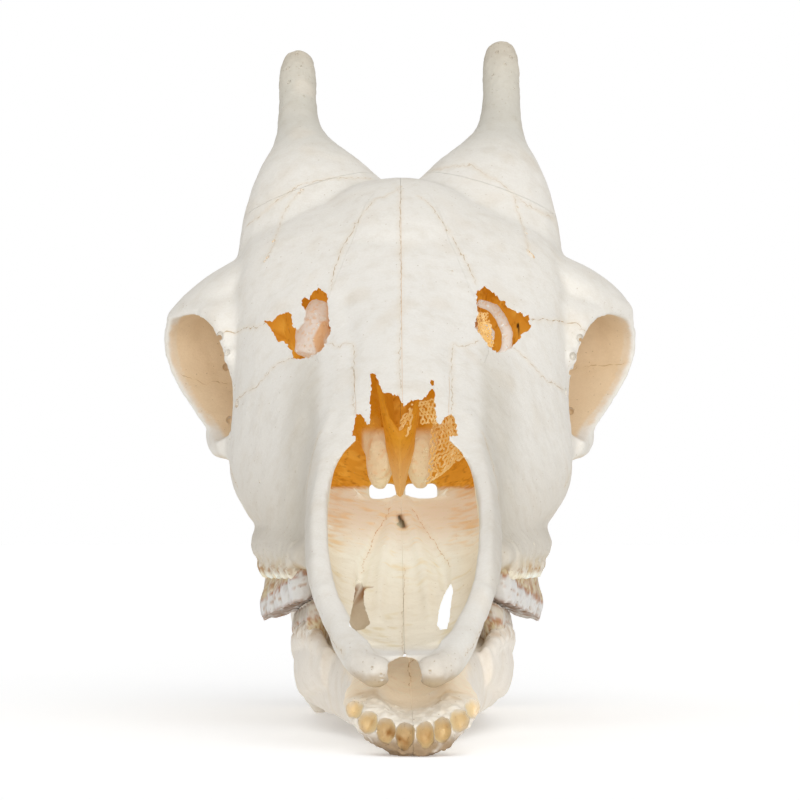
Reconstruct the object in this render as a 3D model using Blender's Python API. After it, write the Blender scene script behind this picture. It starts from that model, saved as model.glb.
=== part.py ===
"""A life-size giraffe skull resting on its lower jaw.

The frame is +Z up with the floor at zero, the snout towards -Y and the skull's own left side
towards +X. Lengths are in metres. While the bones are shaped, Y is the distance behind the tip
of the snout; the last step moves everything so that the frame's origin is under the middle.
"""

import math

import bmesh
import bpy
import numpy as np
from mathutils import Matrix, Vector

# Driving dimensions.
TIP_TO_ORIGIN = 0.3083
SUTURE = 0.0004
CORONAL_STATION = 0.480
CRANIUM_VOXEL = 0.0022
CAVITY_VOXEL = 0.0018
MANDIBLE_VOXEL = 0.0018
CRANIUM_TRIANGLES = 6800
MANDIBLE_TRIANGLES = 2000
SIDES = {"right": -1, "left": 1}

# The head's outer form: station, palate height, crown height, then half-breadths near the
# palate, at the flank and at the shoulder.
CRANIUM_SECTIONS = [
    (0.022, 0.030, 0.041, 0.0120, 0.0165, 0.0140),
    (0.036, 0.030, 0.047, 0.0165, 0.0210, 0.0200),
    (0.070, 0.036, 0.063, 0.0240, 0.0300, 0.0320),
    (0.120, 0.050, 0.091, 0.0345, 0.0420, 0.0430),
    (0.160, 0.063, 0.115, 0.0410, 0.0455, 0.0445),
    (0.200, 0.074, 0.141, 0.0450, 0.0470, 0.0430),
    (0.240, 0.083, 0.173, 0.0530, 0.0530, 0.0395),
    (0.280, 0.089, 0.202, 0.0660, 0.0640, 0.0410),
    (0.320, 0.094, 0.229, 0.0770, 0.0770, 0.0520),
    (0.360, 0.100, 0.257, 0.0830, 0.0880, 0.0670),
    (0.400, 0.115, 0.281, 0.0720, 0.0900, 0.0790),
    (0.440, 0.134, 0.294, 0.0460, 0.0810, 0.0830),
    (0.480, 0.146, 0.298, 0.0400, 0.0700, 0.0825),
    (0.520, 0.151, 0.292, 0.0410, 0.0650, 0.0770),
    (0.560, 0.152, 0.274, 0.0440, 0.0660, 0.0650),
    (0.592, 0.156, 0.248, 0.0400, 0.0590, 0.0500),
]
LOW_LEVEL, FLANK_LEVEL, SHOULDER_LEVEL = 0.10, 0.45, 0.82

# The nasal cavity inside it, in the same columns: floor, roof, three half-breadths.
CAVITY_SECTIONS = [
    (0.050, 0.046, 0.090, 0.0170, 0.0215, 0.0230),
    (0.075, 0.050, 0.100, 0.0230, 0.0285, 0.0300),
    (0.120, 0.061, 0.125, 0.0290, 0.0350, 0.0350),
    (0.160, 0.073, 0.147, 0.0330, 0.0368, 0.0330),
    (0.200, 0.084, 0.150, 0.0365, 0.0370, 0.0290),
    (0.240, 0.093, 0.166, 0.0420, 0.0430, 0.0270),
    (0.280, 0.102, 0.197, 0.0470, 0.0510, 0.0340),
    (0.320, 0.111, 0.224, 0.0490, 0.0600, 0.0450),
    (0.360, 0.120, 0.252, 0.0440, 0.0640, 0.0600),
    (0.400, 0.140, 0.266, 0.0300, 0.0540, 0.0560),
    (0.430, 0.160, 0.262, 0.0150, 0.0300, 0.0350),
]

# The orbit: a tube that opens outwards, forwards and a little downwards. Its rim is an egg in
# the plane across that axis, given by how far back and how far up each mark lies.
ORBIT_CENTRE = (0.113, 0.430, 0.184)
ORBIT_AXIS = (0.88, -0.40, -0.26)
ORBIT_RIM = [
    (-0.002, 0.040), (0.020, 0.037), (0.037, 0.023), (0.036, 0.003), (0.016, -0.020), (-0.009, -0.038),
    (-0.030, -0.037), (-0.049, -0.020), (-0.055, 0.004), (-0.046, 0.029), (-0.025, 0.039),
]

# The opening between the lacrimal, frontal and nasal bones, seen from the front.
VACUITY_OUTLINE = [
    (0.0700, 0.211), (0.0600, 0.2175), (0.0510, 0.2200), (0.0445, 0.2310), (0.0395, 0.2265),
    (0.0380, 0.2100), (0.0425, 0.1990), (0.0520, 0.1930), (0.0610, 0.1975),
]

# The nasal bones seen from above: half-breadth by station.
NASAL_EDGE = [
    (0.190, 0.0235), (0.250, 0.0242), (0.271, 0.0265), (0.285, 0.0400), (0.325, 0.0405),
    (0.342, 0.0340), (0.365, 0.0265), (0.398, 0.0160), (0.420, 0.0035),
]

# Cheek teeth from front to back: length along the row, breadth across it.
CHEEK_TEETH = [
    ("p2", 0.019, 0.014), ("p3", 0.021, 0.017), ("p4", 0.021, 0.019),
    ("m1", 0.027, 0.021), ("m2", 0.030, 0.022), ("m3", 0.030, 0.021),
]
UPPER_ROW = [(0.205, 0.0480), (0.240, 0.0528), (0.280, 0.0585), (0.320, 0.0628), (0.360, 0.0636)]
LOWER_ROW = [(0.200, 0.0435), (0.240, 0.0448), (0.280, 0.0468), (0.320, 0.0485), (0.360, 0.0500)]
# The biting surfaces slope down outwards and backwards, and a hair of room is left between
# the two rows.
BITE_HEIGHT = 0.0650
BITE_DROP_BACK = 0.075
BITE_SLOPE = 0.28
BITE_ROOM = 0.0010

# Lower jaw, one side: centre line with half-breadths and half-heights along it.
JAW_ROUTE = [
    (0.0140, 0.050, 0.0180), (0.0165, 0.080, 0.0215), (0.0200, 0.120, 0.0230),
    (0.0285, 0.180, 0.0255), (0.0380, 0.240, 0.0285), (0.0440, 0.300, 0.0320),
    (0.0462, 0.360, 0.0360), (0.0470, 0.420, 0.0400), (0.0470, 0.470, 0.0450),
]
JAW_BREADTHS = [0.0110, 0.0100, 0.0092, 0.0092, 0.0098, 0.0104, 0.0106, 0.0098, 0.0070]
JAW_HEIGHTS = [0.0125, 0.0158, 0.0180, 0.0182, 0.0200, 0.0230, 0.0270, 0.0360, 0.0445]
# The ramus by height: how far out, front edge, back edge, thickness.
RAMUS_LEVELS = [
    (-0.001, 0.0430, 0.440, 0.490, 0.007), (0.006, 0.0455, 0.422, 0.508, 0.009),
    (0.020, 0.0490, 0.404, 0.526, 0.010), (0.045, 0.0535, 0.400, 0.538, 0.010),
    (0.075, 0.0585, 0.418, 0.538, 0.009), (0.100, 0.0620, 0.438, 0.536, 0.009),
    (0.118, 0.0645, 0.450, 0.534, 0.009), (0.126, 0.0655, 0.456, 0.533, 0.008),
]
SYMPHYSIS_SECTIONS = [
    (0.004, 0.002, 0.012, 0.0045, 0.0095, 0.0090),
    (0.013, -0.001, 0.019, 0.0080, 0.0175, 0.0190),
    (0.030, -0.001, 0.026, 0.0115, 0.0245, 0.0280),
    (0.060, -0.001, 0.032, 0.0125, 0.0255, 0.0300),
    (0.090, 0.001, 0.037, 0.0135, 0.0250, 0.0270),
    (0.130, 0.006, 0.041, 0.0150, 0.0230, 0.0230),
    (0.160, 0.013, 0.038, 0.0180, 0.0230, 0.0220),
]
# The empty incisor sockets, one side: across, back from the tip and height of each mouth, and
# its radius.
SOCKETS = [
    (0.0046, 0.0050, 0.0095, 0.0033), (0.0125, 0.0085, 0.0110, 0.0034),
    (0.0205, 0.0170, 0.0155, 0.0036), (0.0262, 0.0300, 0.0220, 0.0036),
]
# The vomer: station, keel, brim, half-breadth of the brim.
VOMER_STATIONS = [
    (0.318, 0.147, 0.177, 0.0125), (0.331, 0.130, 0.180, 0.0125), (0.345, 0.117, 0.183, 0.0118),
    (0.380, 0.118, 0.184, 0.0095), (0.445, 0.140, 0.186, 0.0070),
]
# Linear colour and roughness of each kind of bone.
BONE_COLOURS = {
    "frontal": ((0.84, 0.80, 0.72), 0.62),
    "braincase": ((0.82, 0.78, 0.70), 0.62),
    "upper_jaw": ((0.84, 0.80, 0.71), 0.60),
    "nasal_bone": ((0.86, 0.83, 0.77), 0.60),
    "ossicone": ((0.82, 0.78, 0.70), 0.66),
    "mandible": ((0.80, 0.74, 0.64), 0.62),
    "vomer": ((0.58, 0.31, 0.07), 0.55),
    "ethmoid_scroll": ((0.70, 0.55, 0.40), 0.60),
    "nose_scroll": ((0.72, 0.52, 0.22), 0.60),
}
# How far the skull and its jaw are turned from straight, and where they turn about.
HEAD_SWING = math.radians(0.28)
HEAD_PIVOT = (0.0, 0.47)
JAW_SWING = math.radians(0.85)
JAW_PIVOT = (0.0, 0.50)
JAW_SHIFT = -0.0015


def remove_everything():
    """An empty scene to build in."""
    for thing in list(bpy.data.objects):
        bpy.data.objects.remove(thing)


def fair_line(marks):
    """A smooth curve through (station, value) marks, as a function of the station."""
    place, value = np.array(marks, float).T
    slope = np.gradient(value, place)

    def read(station):
        s = np.clip(station, place[0], place[-1])
        i = np.clip(np.searchsorted(place, s) - 1, 0, len(place) - 2)
        step = place[i + 1] - place[i]
        t = (s - place[i]) / step
        return (
            value[i] * (1 + 2 * t) * (1 - t) ** 2
            + value[i + 1] * t * t * (3 - 2 * t)
            + step * (slope[i] * t * (1 - t) ** 2 - slope[i + 1] * t * t * (1 - t))
        )

    return read


def fair_path(points, count):
    """That many points along a smooth curve through the given ones."""
    points = np.array(points, float)
    reach = np.r_[0, np.cumsum(np.linalg.norm(np.diff(points, axis=0), axis=1))]
    at = np.linspace(0, reach[-1], count)
    return np.stack([fair_line(list(zip(reach, column)))(at) for column in points.T], axis=1)


def closed_ring(corners, count):
    """A closed smooth ring through the corners."""
    corners = np.array(corners, float)
    wrapped = np.vstack([corners[-2:], corners, corners[:3]])
    knots = np.arange(-2, len(corners) + 3)
    at = np.linspace(0, len(corners), count, endpoint=False)
    return np.stack(
        [fair_line(list(zip(knots, column)))(at) for column in wrapped.T], axis=1
    )


def mesh_object(name, points, faces):
    """A mesh object whose faces point outwards."""
    mesh = bpy.data.meshes.new(name)
    mesh.from_pydata([tuple(p) for p in points], [], faces)
    shape = bmesh.new()
    shape.from_mesh(mesh)
    bmesh.ops.remove_doubles(shape, verts=shape.verts, dist=1e-6)
    bmesh.ops.recalc_face_normals(shape, faces=shape.faces)
    shape.to_mesh(mesh)
    shape.free()
    thing = bpy.data.objects.new(name, mesh)
    bpy.context.scene.collection.objects.link(thing)
    return thing


def skin(name, rings):
    """A closed body through a row of rings with as many points each."""
    count = len(rings[0])
    points = np.concatenate(rings)
    faces = [list(range(count))[::-1]]
    for row in range(len(rings) - 1):
        base = row * count
        for i in range(count):
            j = (i + 1) % count
            faces.append([base + i, base + j, base + count + j, base + count + i])
    faces.append(list(range((len(rings) - 1) * count, len(rings) * count)))
    return mesh_object(name, points, faces)


def half_outline(bottom, top, low, flank, shoulder):
    """One cross-section, as the eight corners of a closed ring."""
    height = top - bottom
    right = [
        (low, bottom + LOW_LEVEL * height),
        (flank, bottom + FLANK_LEVEL * height),
        (shoulder, bottom + SHOULDER_LEVEL * height),
    ]
    left = [(-x, z) for x, z in reversed(right)]
    return [(0, bottom), *right, (0, top), *left]


def body_from_sections(name, sections, steps=64, around=64):
    """A closed body whose cross-sections follow the table's lines smoothly."""
    table = np.array(sections, float)
    lines = [fair_line(list(zip(table[:, 0], column))) for column in table.T[1:]]
    rings = []
    for station in np.linspace(table[0, 0], table[-1, 0], steps):
        outline = closed_ring(half_outline(*[line(station) for line in lines]), around)
        rings.append(np.insert(outline, 1, station, axis=1))
    return skin(name, rings)


def bar(name, route, across, along=None, steps=24, around=20, up=(0, 0, 1)):
    """A round bar along a smooth route. across and along give its half-thicknesses at even
    steps of the route, sideways and towards up."""
    path = fair_path(route, steps)
    share = np.linspace(0, 1, steps)
    wide = np.interp(share, np.linspace(0, 1, len(across)), across)
    along = across if along is None else along
    tall = np.interp(share, np.linspace(0, 1, len(along)), along)
    heading = np.gradient(path, axis=0)
    heading /= np.linalg.norm(heading, axis=1)[:, None]
    side = np.cross(heading, np.array(up, float))
    side /= np.linalg.norm(side, axis=1)[:, None]
    over = np.cross(side, heading)
    angle = np.linspace(0, 2 * math.pi, around, endpoint=False)
    rings = [
        path[i]
        + np.outer(wide[i] * np.cos(angle), side[i])
        + np.outer(tall[i] * np.sin(angle), over[i])
        for i in range(steps)
    ]
    return skin(name, rings)


def ball(name, centre, radii):
    """An ellipsoid."""
    shape = bmesh.new()
    bmesh.ops.create_icosphere(shape, subdivisions=4, radius=1)
    shape.transform(Matrix.Translation(centre) @ Matrix.Diagonal((*radii, 1)))
    mesh = bpy.data.meshes.new(name)
    shape.to_mesh(mesh)
    shape.free()
    thing = bpy.data.objects.new(name, mesh)
    bpy.context.scene.collection.objects.link(thing)
    return thing


def block(name, centre, size, upward=(0, 0, 1)):
    """A rectangular block whose height runs along upward."""
    shape = bmesh.new()
    bmesh.ops.create_cube(shape, size=1)
    turn = Vector(upward).to_track_quat("Z", "Y").to_matrix().to_4x4()
    shape.transform(Matrix.Translation(centre) @ turn @ Matrix.Diagonal((*size, 1)))
    mesh = bpy.data.meshes.new(name)
    shape.to_mesh(mesh)
    shape.free()
    thing = bpy.data.objects.new(name, mesh)
    bpy.context.scene.collection.objects.link(thing)
    return thing


def orbit_directions():
    """Outwards along the orbit's axis, then backwards and upwards across it."""
    out = np.array(ORBIT_AXIS) / np.linalg.norm(ORBIT_AXIS)
    back = np.cross((0, 0, 1), out)
    back /= np.linalg.norm(back)
    return out, back, np.cross(out, back)


def orbit_tube(name, side, marks, around=48):
    """A tube along the orbit's axis. Each mark is how far out, the share of the rim's size and
    a small shift of the ring."""
    out, back, rise = orbit_directions()
    rim = closed_ring(ORBIT_RIM, around)
    middle = rim.mean(axis=0)
    rings = []
    for reach, share, shift in marks:
        flat = middle + share * (rim - middle)
        ring = (
            np.array(ORBIT_CENTRE) + reach * out + np.array(shift)
            + np.outer(flat[:, 0], back) + np.outer(flat[:, 1], rise)
        )
        rings.append(ring * np.array([side, 1, 1]))
    return skin(name, rings)


def baked(thing):
    """The object with its modifiers applied."""
    graph = bpy.context.evaluated_depsgraph_get()
    mesh = bpy.data.meshes.new_from_object(thing.evaluated_get(graph))
    thing.modifiers.clear()
    thing.data = mesh
    return thing


def combine(thing, pieces, operation, solver="MANIFOLD"):
    """One Boolean with a collection of closed pieces, which are then removed."""
    group = bpy.data.collections.new(thing.name + "_pieces")
    for piece in pieces:
        group.objects.link(piece)
    step = thing.modifiers.new(operation.lower(), "BOOLEAN")
    step.operand_type = "COLLECTION"
    step.collection = group
    step.operation = operation
    step.solver = solver
    baked(thing)
    for piece in pieces:
        bpy.data.objects.remove(piece)
    bpy.data.collections.remove(group)
    return thing


def copied(thing, name):
    """A separate copy of an object."""
    twin = bpy.data.objects.new(name, thing.data.copy())
    bpy.context.scene.collection.objects.link(twin)
    return twin


def grown(thing, amount):
    """A copy of a body swollen by a small amount all over."""
    twin = copied(thing, thing.name + "_grown")
    step = twin.modifiers.new("swell", "DISPLACE")
    step.mid_level = 0
    step.strength = amount
    return baked(twin)


def soften(thing, voxel, passes, factor=0.5):
    """One even surface over all of it, worn smooth."""
    grid = thing.modifiers.new("even", "REMESH")
    grid.mode = "VOXEL"
    grid.voxel_size = voxel
    grid.adaptivity = 0
    if passes:
        wear = thing.modifiers.new("wear", "SMOOTH")
        wear.factor = factor
        wear.iterations = passes
    return baked(thing)


def thin_out(thing, triangles):
    """The same form in about that many triangles."""
    thing.data.calc_loop_triangles()
    step = thing.modifiers.new("thin", "DECIMATE")
    step.ratio = triangles / len(thing.data.loop_triangles)
    step.use_collapse_triangulate = True
    return baked(thing)


def loose_bodies(thing):
    """The object's closed surfaces as lists of face indices, the largest first."""
    shape = bmesh.new()
    shape.from_mesh(thing.data)
    shape.faces.ensure_lookup_table()
    left = set(range(len(shape.faces)))
    bodies = []
    while left:
        start = left.pop()
        body, edge = [start], [start]
        while edge:
            face = shape.faces[edge.pop()]
            for corner in face.verts:
                for other in corner.link_faces:
                    if other.index in left:
                        left.discard(other.index)
                        body.append(other.index)
                        edge.append(other.index)
        bodies.append((sum(shape.faces[i].calc_area() for i in body), body))
    shape.free()
    return [body for area, body in sorted(bodies, key=lambda entry: -entry[0])]


def only(thing, faces):
    """The object with nothing but these faces."""
    keep = set(faces)
    shape = bmesh.new()
    shape.from_mesh(thing.data)
    shape.faces.ensure_lookup_table()
    drop = [face for face in shape.faces if face.index not in keep]
    bmesh.ops.delete(shape, geom=drop, context="FACES")
    shape.to_mesh(thing.data)
    shape.free()
    return thing


def largest(thing):
    """The object's largest closed surface alone."""
    return only(thing, loose_bodies(thing)[0])


def parted(thing, names):
    """The largest closed surfaces as objects of their own. names says, for each, its name as a
    function of its middle."""
    bodies = []
    for faces in loose_bodies(thing)[: len(names)]:
        twin = only(copied(thing, "part"), faces)
        middle = sum((Vector(c) for c in twin.bound_box), Vector()) / 8
        bodies.append((middle, twin))
    for name, test in names.items():
        for middle, twin in bodies:
            if test(middle):
                twin.name = name
    bpy.data.objects.remove(thing)
    return {twin.name: twin for middle, twin in bodies}


def head_form():
    """Everything of the head but its teeth, before the cavities are cut."""
    body = body_from_sections("head", CRANIUM_SECTIONS)
    pieces = []
    for word, side in SIDES.items():
        pieces.append(orbit_tube(f"orbit_{word}", side, [
            (-0.070, 1.00, (0, 0.008, 0.018)), (-0.030, 1.06, (0, 0.003, 0.008)),
            (-0.010, 1.03, (0, 0, 0.002)), (0.0, 1.0, (0, 0, 0)),
        ]))
        # The brow slopes from the forehead out to the top of the orbit, a little higher on the
        # skull's left side.
        lift = 0.004 if side > 0 else 0.0
        pieces.append(bar(
            f"brow_{word}",
            [(side * 0.050, 0.445, 0.250), (side * 0.085, 0.440, 0.240 + lift / 2),
             (side * 0.106, 0.434, 0.229 + lift), (side * 0.122, 0.427, 0.216 + lift)],
            [0.045, 0.040, 0.033, 0.022], [0.018, 0.014, 0.011, 0.006],
        ))
        # The cheek runs from under the orbit forwards to above the last teeth.
        pieces.append(bar(
            f"cheek_{word}",
            [(side * 0.088, 0.425, 0.151), (side * 0.082, 0.390, 0.135),
             (side * 0.074, 0.350, 0.118), (side * 0.064, 0.300, 0.106)],
            [0.009, 0.011, 0.011, 0.008], [0.010, 0.012, 0.012, 0.010],
        ))
        # The arch runs from the orbit back to the jaw joint.
        pieces.append(bar(
            f"arch_{word}",
            [(side * 0.092, 0.415, 0.150), (side * 0.102, 0.450, 0.153),
             (side * 0.101, 0.485, 0.163), (side * 0.091, 0.515, 0.172), (side * 0.072, 0.535, 0.176),
             (side * 0.054, 0.545, 0.184)],
            [0.010, 0.0065, 0.006, 0.0075, 0.010, 0.013], [0.011, 0.011, 0.009, 0.0085, 0.0095, 0.012],
        ))
        # The ossicone stands on a wide flare at the back of the forehead.
        pieces.append(bar(
            f"ossicone_{word}",
            [(side * 0.040, 0.452, 0.256), (side * 0.046, 0.470, 0.279), (side * 0.0530, 0.494, 0.304),
             (side * 0.0578, 0.520, 0.331), (side * 0.0598, 0.5660, 0.381 + 0.003 * side)],
            [0.040, 0.037, 0.033, 0.029, 0.0240, 0.0180, 0.0137, 0.0116, 0.0110, 0.0112, 0.0090],
            [0.052, 0.048, 0.0425, 0.0355, 0.0270, 0.0180, 0.0133, 0.0116, 0.0111, 0.0114, 0.0090],
            steps=44, up=(1, 0, 0),
        ))
        # The bone that holds the upper cheek teeth.
        pieces.append(bar(
            f"alveolus_{word}",
            [(side * 0.045, 0.197, 0.088), (side * 0.0520, 0.240, 0.091), (side * 0.0585, 0.290, 0.093),
             (side * 0.0625, 0.340, 0.095), (side * 0.0580, 0.382, 0.108)],
            [0.009, 0.013, 0.0170, 0.0175, 0.012], [0.007, 0.010, 0.0120, 0.0130, 0.012],
        ))
        # The rounded rim of the nose opening, down to the knob at the tip of the snout.
        pieces.append(bar(
            f"nose_rim_{word}",
            [(side * 0.0128, 0.030, 0.0375), (side * 0.0232, 0.050, 0.0450), (side * 0.0312, 0.080, 0.0590),
             (side * 0.0372, 0.100, 0.0715), (side * 0.0400, 0.120, 0.0840), (side * 0.0405, 0.160, 0.1070),
             (side * 0.0370, 0.205, 0.1330), (side * 0.0330, 0.235, 0.1490)],
            [0.0068, 0.0060, 0.0056, 0.0055, 0.0055, 0.0055, 0.0060], steps=32,
        ))
        pieces.append(ball(f"tip_{word}", (side * 0.0128, 0.030, 0.0375), (0.0078, 0.0110, 0.0072)))
        pieces.append(ball(f"condyle_{word}", (side * 0.026, 0.592, 0.158), (0.019, 0.020, 0.024)))
        pieces.append(bar(
            f"paroccipital_{word}",
            [(side * 0.052, 0.556, 0.180), (side * 0.052, 0.566, 0.148), (side * 0.048, 0.570, 0.122)],
            [0.010, 0.006, 0.004], [0.014, 0.011, 0.006], up=(0, 1, 0),
        ))
        pieces.append(bar(
            f"pterygoid_{word}",
            [(side * 0.026, 0.370, 0.126), (side * 0.026, 0.420, 0.132), (side * 0.024, 0.475, 0.150)],
            [0.0042, 0.0038, 0.004], [0.020, 0.019, 0.010],
        ))
        pieces.append(ball(f"bulla_{word}", (side * 0.034, 0.540, 0.153), (0.014, 0.022, 0.014)))
    # The median swelling of the forehead and the crest across the back of the head.
    pieces.append(bar(
        "median_swelling", [(0, 0.345, 0.228), (0, 0.385, 0.255), (0, 0.425, 0.272), (0, 0.470, 0.275)],
        [0.018, 0.036, 0.044, 0.036], [0.010, 0.019, 0.0235, 0.022],
    ))
    pieces.append(bar(
        "nuchal_crest",
        [(-0.060, 0.560, 0.215), (-0.040, 0.583, 0.241), (0, 0.590, 0.250),
         (0.040, 0.583, 0.241), (0.060, 0.560, 0.215)],
        [0.009, 0.011, 0.012, 0.011, 0.009],
    ))
    combine(body, pieces, "UNION")
    return soften(body, CRANIUM_VOXEL, 14)


def head_hollows():
    """The nasal cavity, the passages behind it, the eye sockets and the openings in the face."""
    cutters = [body_from_sections("nasal_cavity", CAVITY_SECTIONS)]
    for word, side in SIDES.items():
        cutters.append(orbit_tube(f"eye_socket_{word}", side, [
            (-0.072, 0.20, (0, 0.006, 0.012)), (-0.055, 0.58, (0, 0.004, 0.008)),
            (-0.022, 0.84, (0, 0.001, 0.002)), (0.004, 0.88, (0, 0, 0)), (0.02, 0.92, (0, 0, 0)),
        ]))
        # The passage from the nose to the throat, above the back of the palate.
        cutters.append(bar(
            f"choana_{word}",
            [(side * 0.0110, 0.340, 0.1225), (side * 0.0112, 0.400, 0.1225), (side * 0.0115, 0.500, 0.115)],
            [0.0085, 0.0088, 0.0100], [0.0060, 0.0065, 0.0150],
        ))
        # The slit in the front of the palate.
        cutters.append(bar(
            f"fissure_{word}",
            [(side * 0.0205, 0.137, 0.020), (side * 0.0205, 0.137, 0.130)],
            [0.0042, 0.0042], [0.048, 0.048], up=(0, 1, 0),
        ))
        window = closed_ring([(side * x, z) for x, z in VACUITY_OUTLINE], 40)
        cutters.append(skin(
            f"vacuity_{word}",
            [np.insert(window + (0, lift), 1, y, axis=1) for y, lift in ((0.300, -0.003), (0.385, 0.001))],
        ))
    cutters.append(bar(
        "premaxilla_gap", [(0, 0.0, 0.033), (0, 0.030, 0.040), (0, 0.054, 0.048)],
        [0.0075, 0.0075, 0.006], [0.03, 0.03, 0.03],
    ))
    # The broken ends of the nasal bones leave two spikes with a notch between.
    cutters.append(block("nasal_notch", (0.0010, 0.197, 0.165), (0.0325, 0.094, 0.080)))
    cutters.append(bar(
        "foramen_magnum", [(0, 0.63, 0.166), (0, 0.58, 0.172), (0, 0.52, 0.186)],
        [0.019, 0.017, 0.012], [0.017, 0.015, 0.010],
    ))
    return cutters


def nasal_prism(name, side, inset):
    """The plan outline of one nasal bone as a tall prism that ends inside the nasal cavity."""
    edge = fair_line(NASAL_EDGE)
    stations = np.linspace(NASAL_EDGE[0][0], NASAL_EDGE[-1][0] - inset, 24)
    outline = [(inset, y) for y in (stations[0], stations[-1])]
    outline += [(float(edge(y)) - inset, y) for y in stations[::-1]]
    lower = [(side * x, y, 0.130 + 0.45 * (y - 0.22)) for x, y in outline]
    upper = [(side * x, y, 0.40) for x, y in outline]
    return skin(name, [np.array(lower), np.array(upper)])


def head_bones():
    """The head cut along its sutures."""
    head = head_form()
    combine(head, head_hollows(), "DIFFERENCE")
    soften(head, CAVITY_VOXEL, 4)
    largest(head)
    thin_out(head, CRANIUM_TRIANGLES)
    bones = {}
    for word, side in SIDES.items():
        bone = copied(head, f"nasal_bone_{word}")
        combine(bone, [nasal_prism("inside", side, SUTURE / 2)], "INTERSECT")
        bones[bone.name] = largest(bone)
    cutters = [nasal_prism(f"outside_{word}", side, -SUTURE / 2) for word, side in SIDES.items()]
    combine(head, cutters, "DIFFERENCE")
    saws = []
    for word, side in SIDES.items():
        tilt = Vector((0.37 * side, 0.12, 1)).normalized()
        middle = Vector((0.025 * side, 0.46, 0.299))
        across = (Vector((side, 0, 0)) - tilt * tilt.x * side).normalized()
        along = tilt.cross(across)
        saw = block(f"ossicone_saw_{word}", (0, 0, 0), (1, 1, 1))
        frame = Matrix((across * 0.155, along * 0.26, tilt * SUTURE)).transposed().to_4x4()
        frame.translation = middle + across * 0.055
        saw.data.transform(frame)
        if frame.determinant() < 0:
            saw.data.flip_normals()
        saws.append(saw)
    for saw in saws:
        combine(head, [saw], "DIFFERENCE")
    bones.update(parted(head, {
        "cranium": lambda m: m.z < 0.28,
        "ossicone_right": lambda m: m.z > 0.28 and m.x < 0,
        "ossicone_left": lambda m: m.z > 0.28 and m.x > 0,
    }))
    # The rest is cut across the face and behind the orbits.
    cranium = bones.pop("cranium")
    face_saw = block("face_saw", (0, 0, 0), (0.40, SUTURE, 0.40))
    face_saw.data.transform(Matrix.Translation((0, 0.3675, 0.18)) @ Matrix.Rotation(0.205, 4, "X"))
    coronal_saw = block("coronal_saw", (0, CORONAL_STATION, 0.18), (0.40, SUTURE, 0.40))
    for saw in (face_saw, coronal_saw):
        combine(cranium, [saw], "DIFFERENCE")
    bones.update(parted(cranium, {
        "braincase": lambda m: m.y > CORONAL_STATION,
        "frontals": lambda m: 0.38 < m.y < CORONAL_STATION,
        "upper_jaws": lambda m: m.y < 0.38,
    }))
    for kind in ("upper_jaw", "frontal"):
        pair = bones.pop(kind + "s")
        combine(pair, [block("middle_saw", (0, 0.25, 0.2), (SUTURE, 0.9, 0.6))], "DIFFERENCE")
        bones.update(parted(pair, {
            kind + "_right": lambda m: m.x < 0,
            kind + "_left": lambda m: m.x > 0,
        }))
    return bones


def turned(angle, pivot):
    """A turn about an upright line through the pivot."""
    there = Matrix.Translation((*pivot, 0))
    return there @ Matrix.Rotation(angle, 4, "Z") @ there.inverted()


def ramus(name, side):
    """The upright plate at the back of the lower jaw, level by level."""
    levels = np.array(RAMUS_LEVELS)
    lines = [fair_line(list(zip(levels[:, 0], column))) for column in levels.T[1:]]
    turn = np.linspace(0, 2 * math.pi, 48, endpoint=False)
    c, s = np.cos(turn), np.sin(turn)
    reach = (np.abs(c) ** 3 + np.abs(s) ** 3) ** (-1 / 3)
    rings = []
    for height in np.linspace(levels[0, 0], levels[-1, 0], 24):
        across, front, back, thick = [float(line(height)) for line in lines]
        rings.append(np.stack([
            side * (across + thick / 2 * reach * s),
            (front + back) / 2 + (back - front) / 2 * reach * c,
            np.full(len(turn), height),
        ], axis=1))
    return skin(name, rings)


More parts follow.
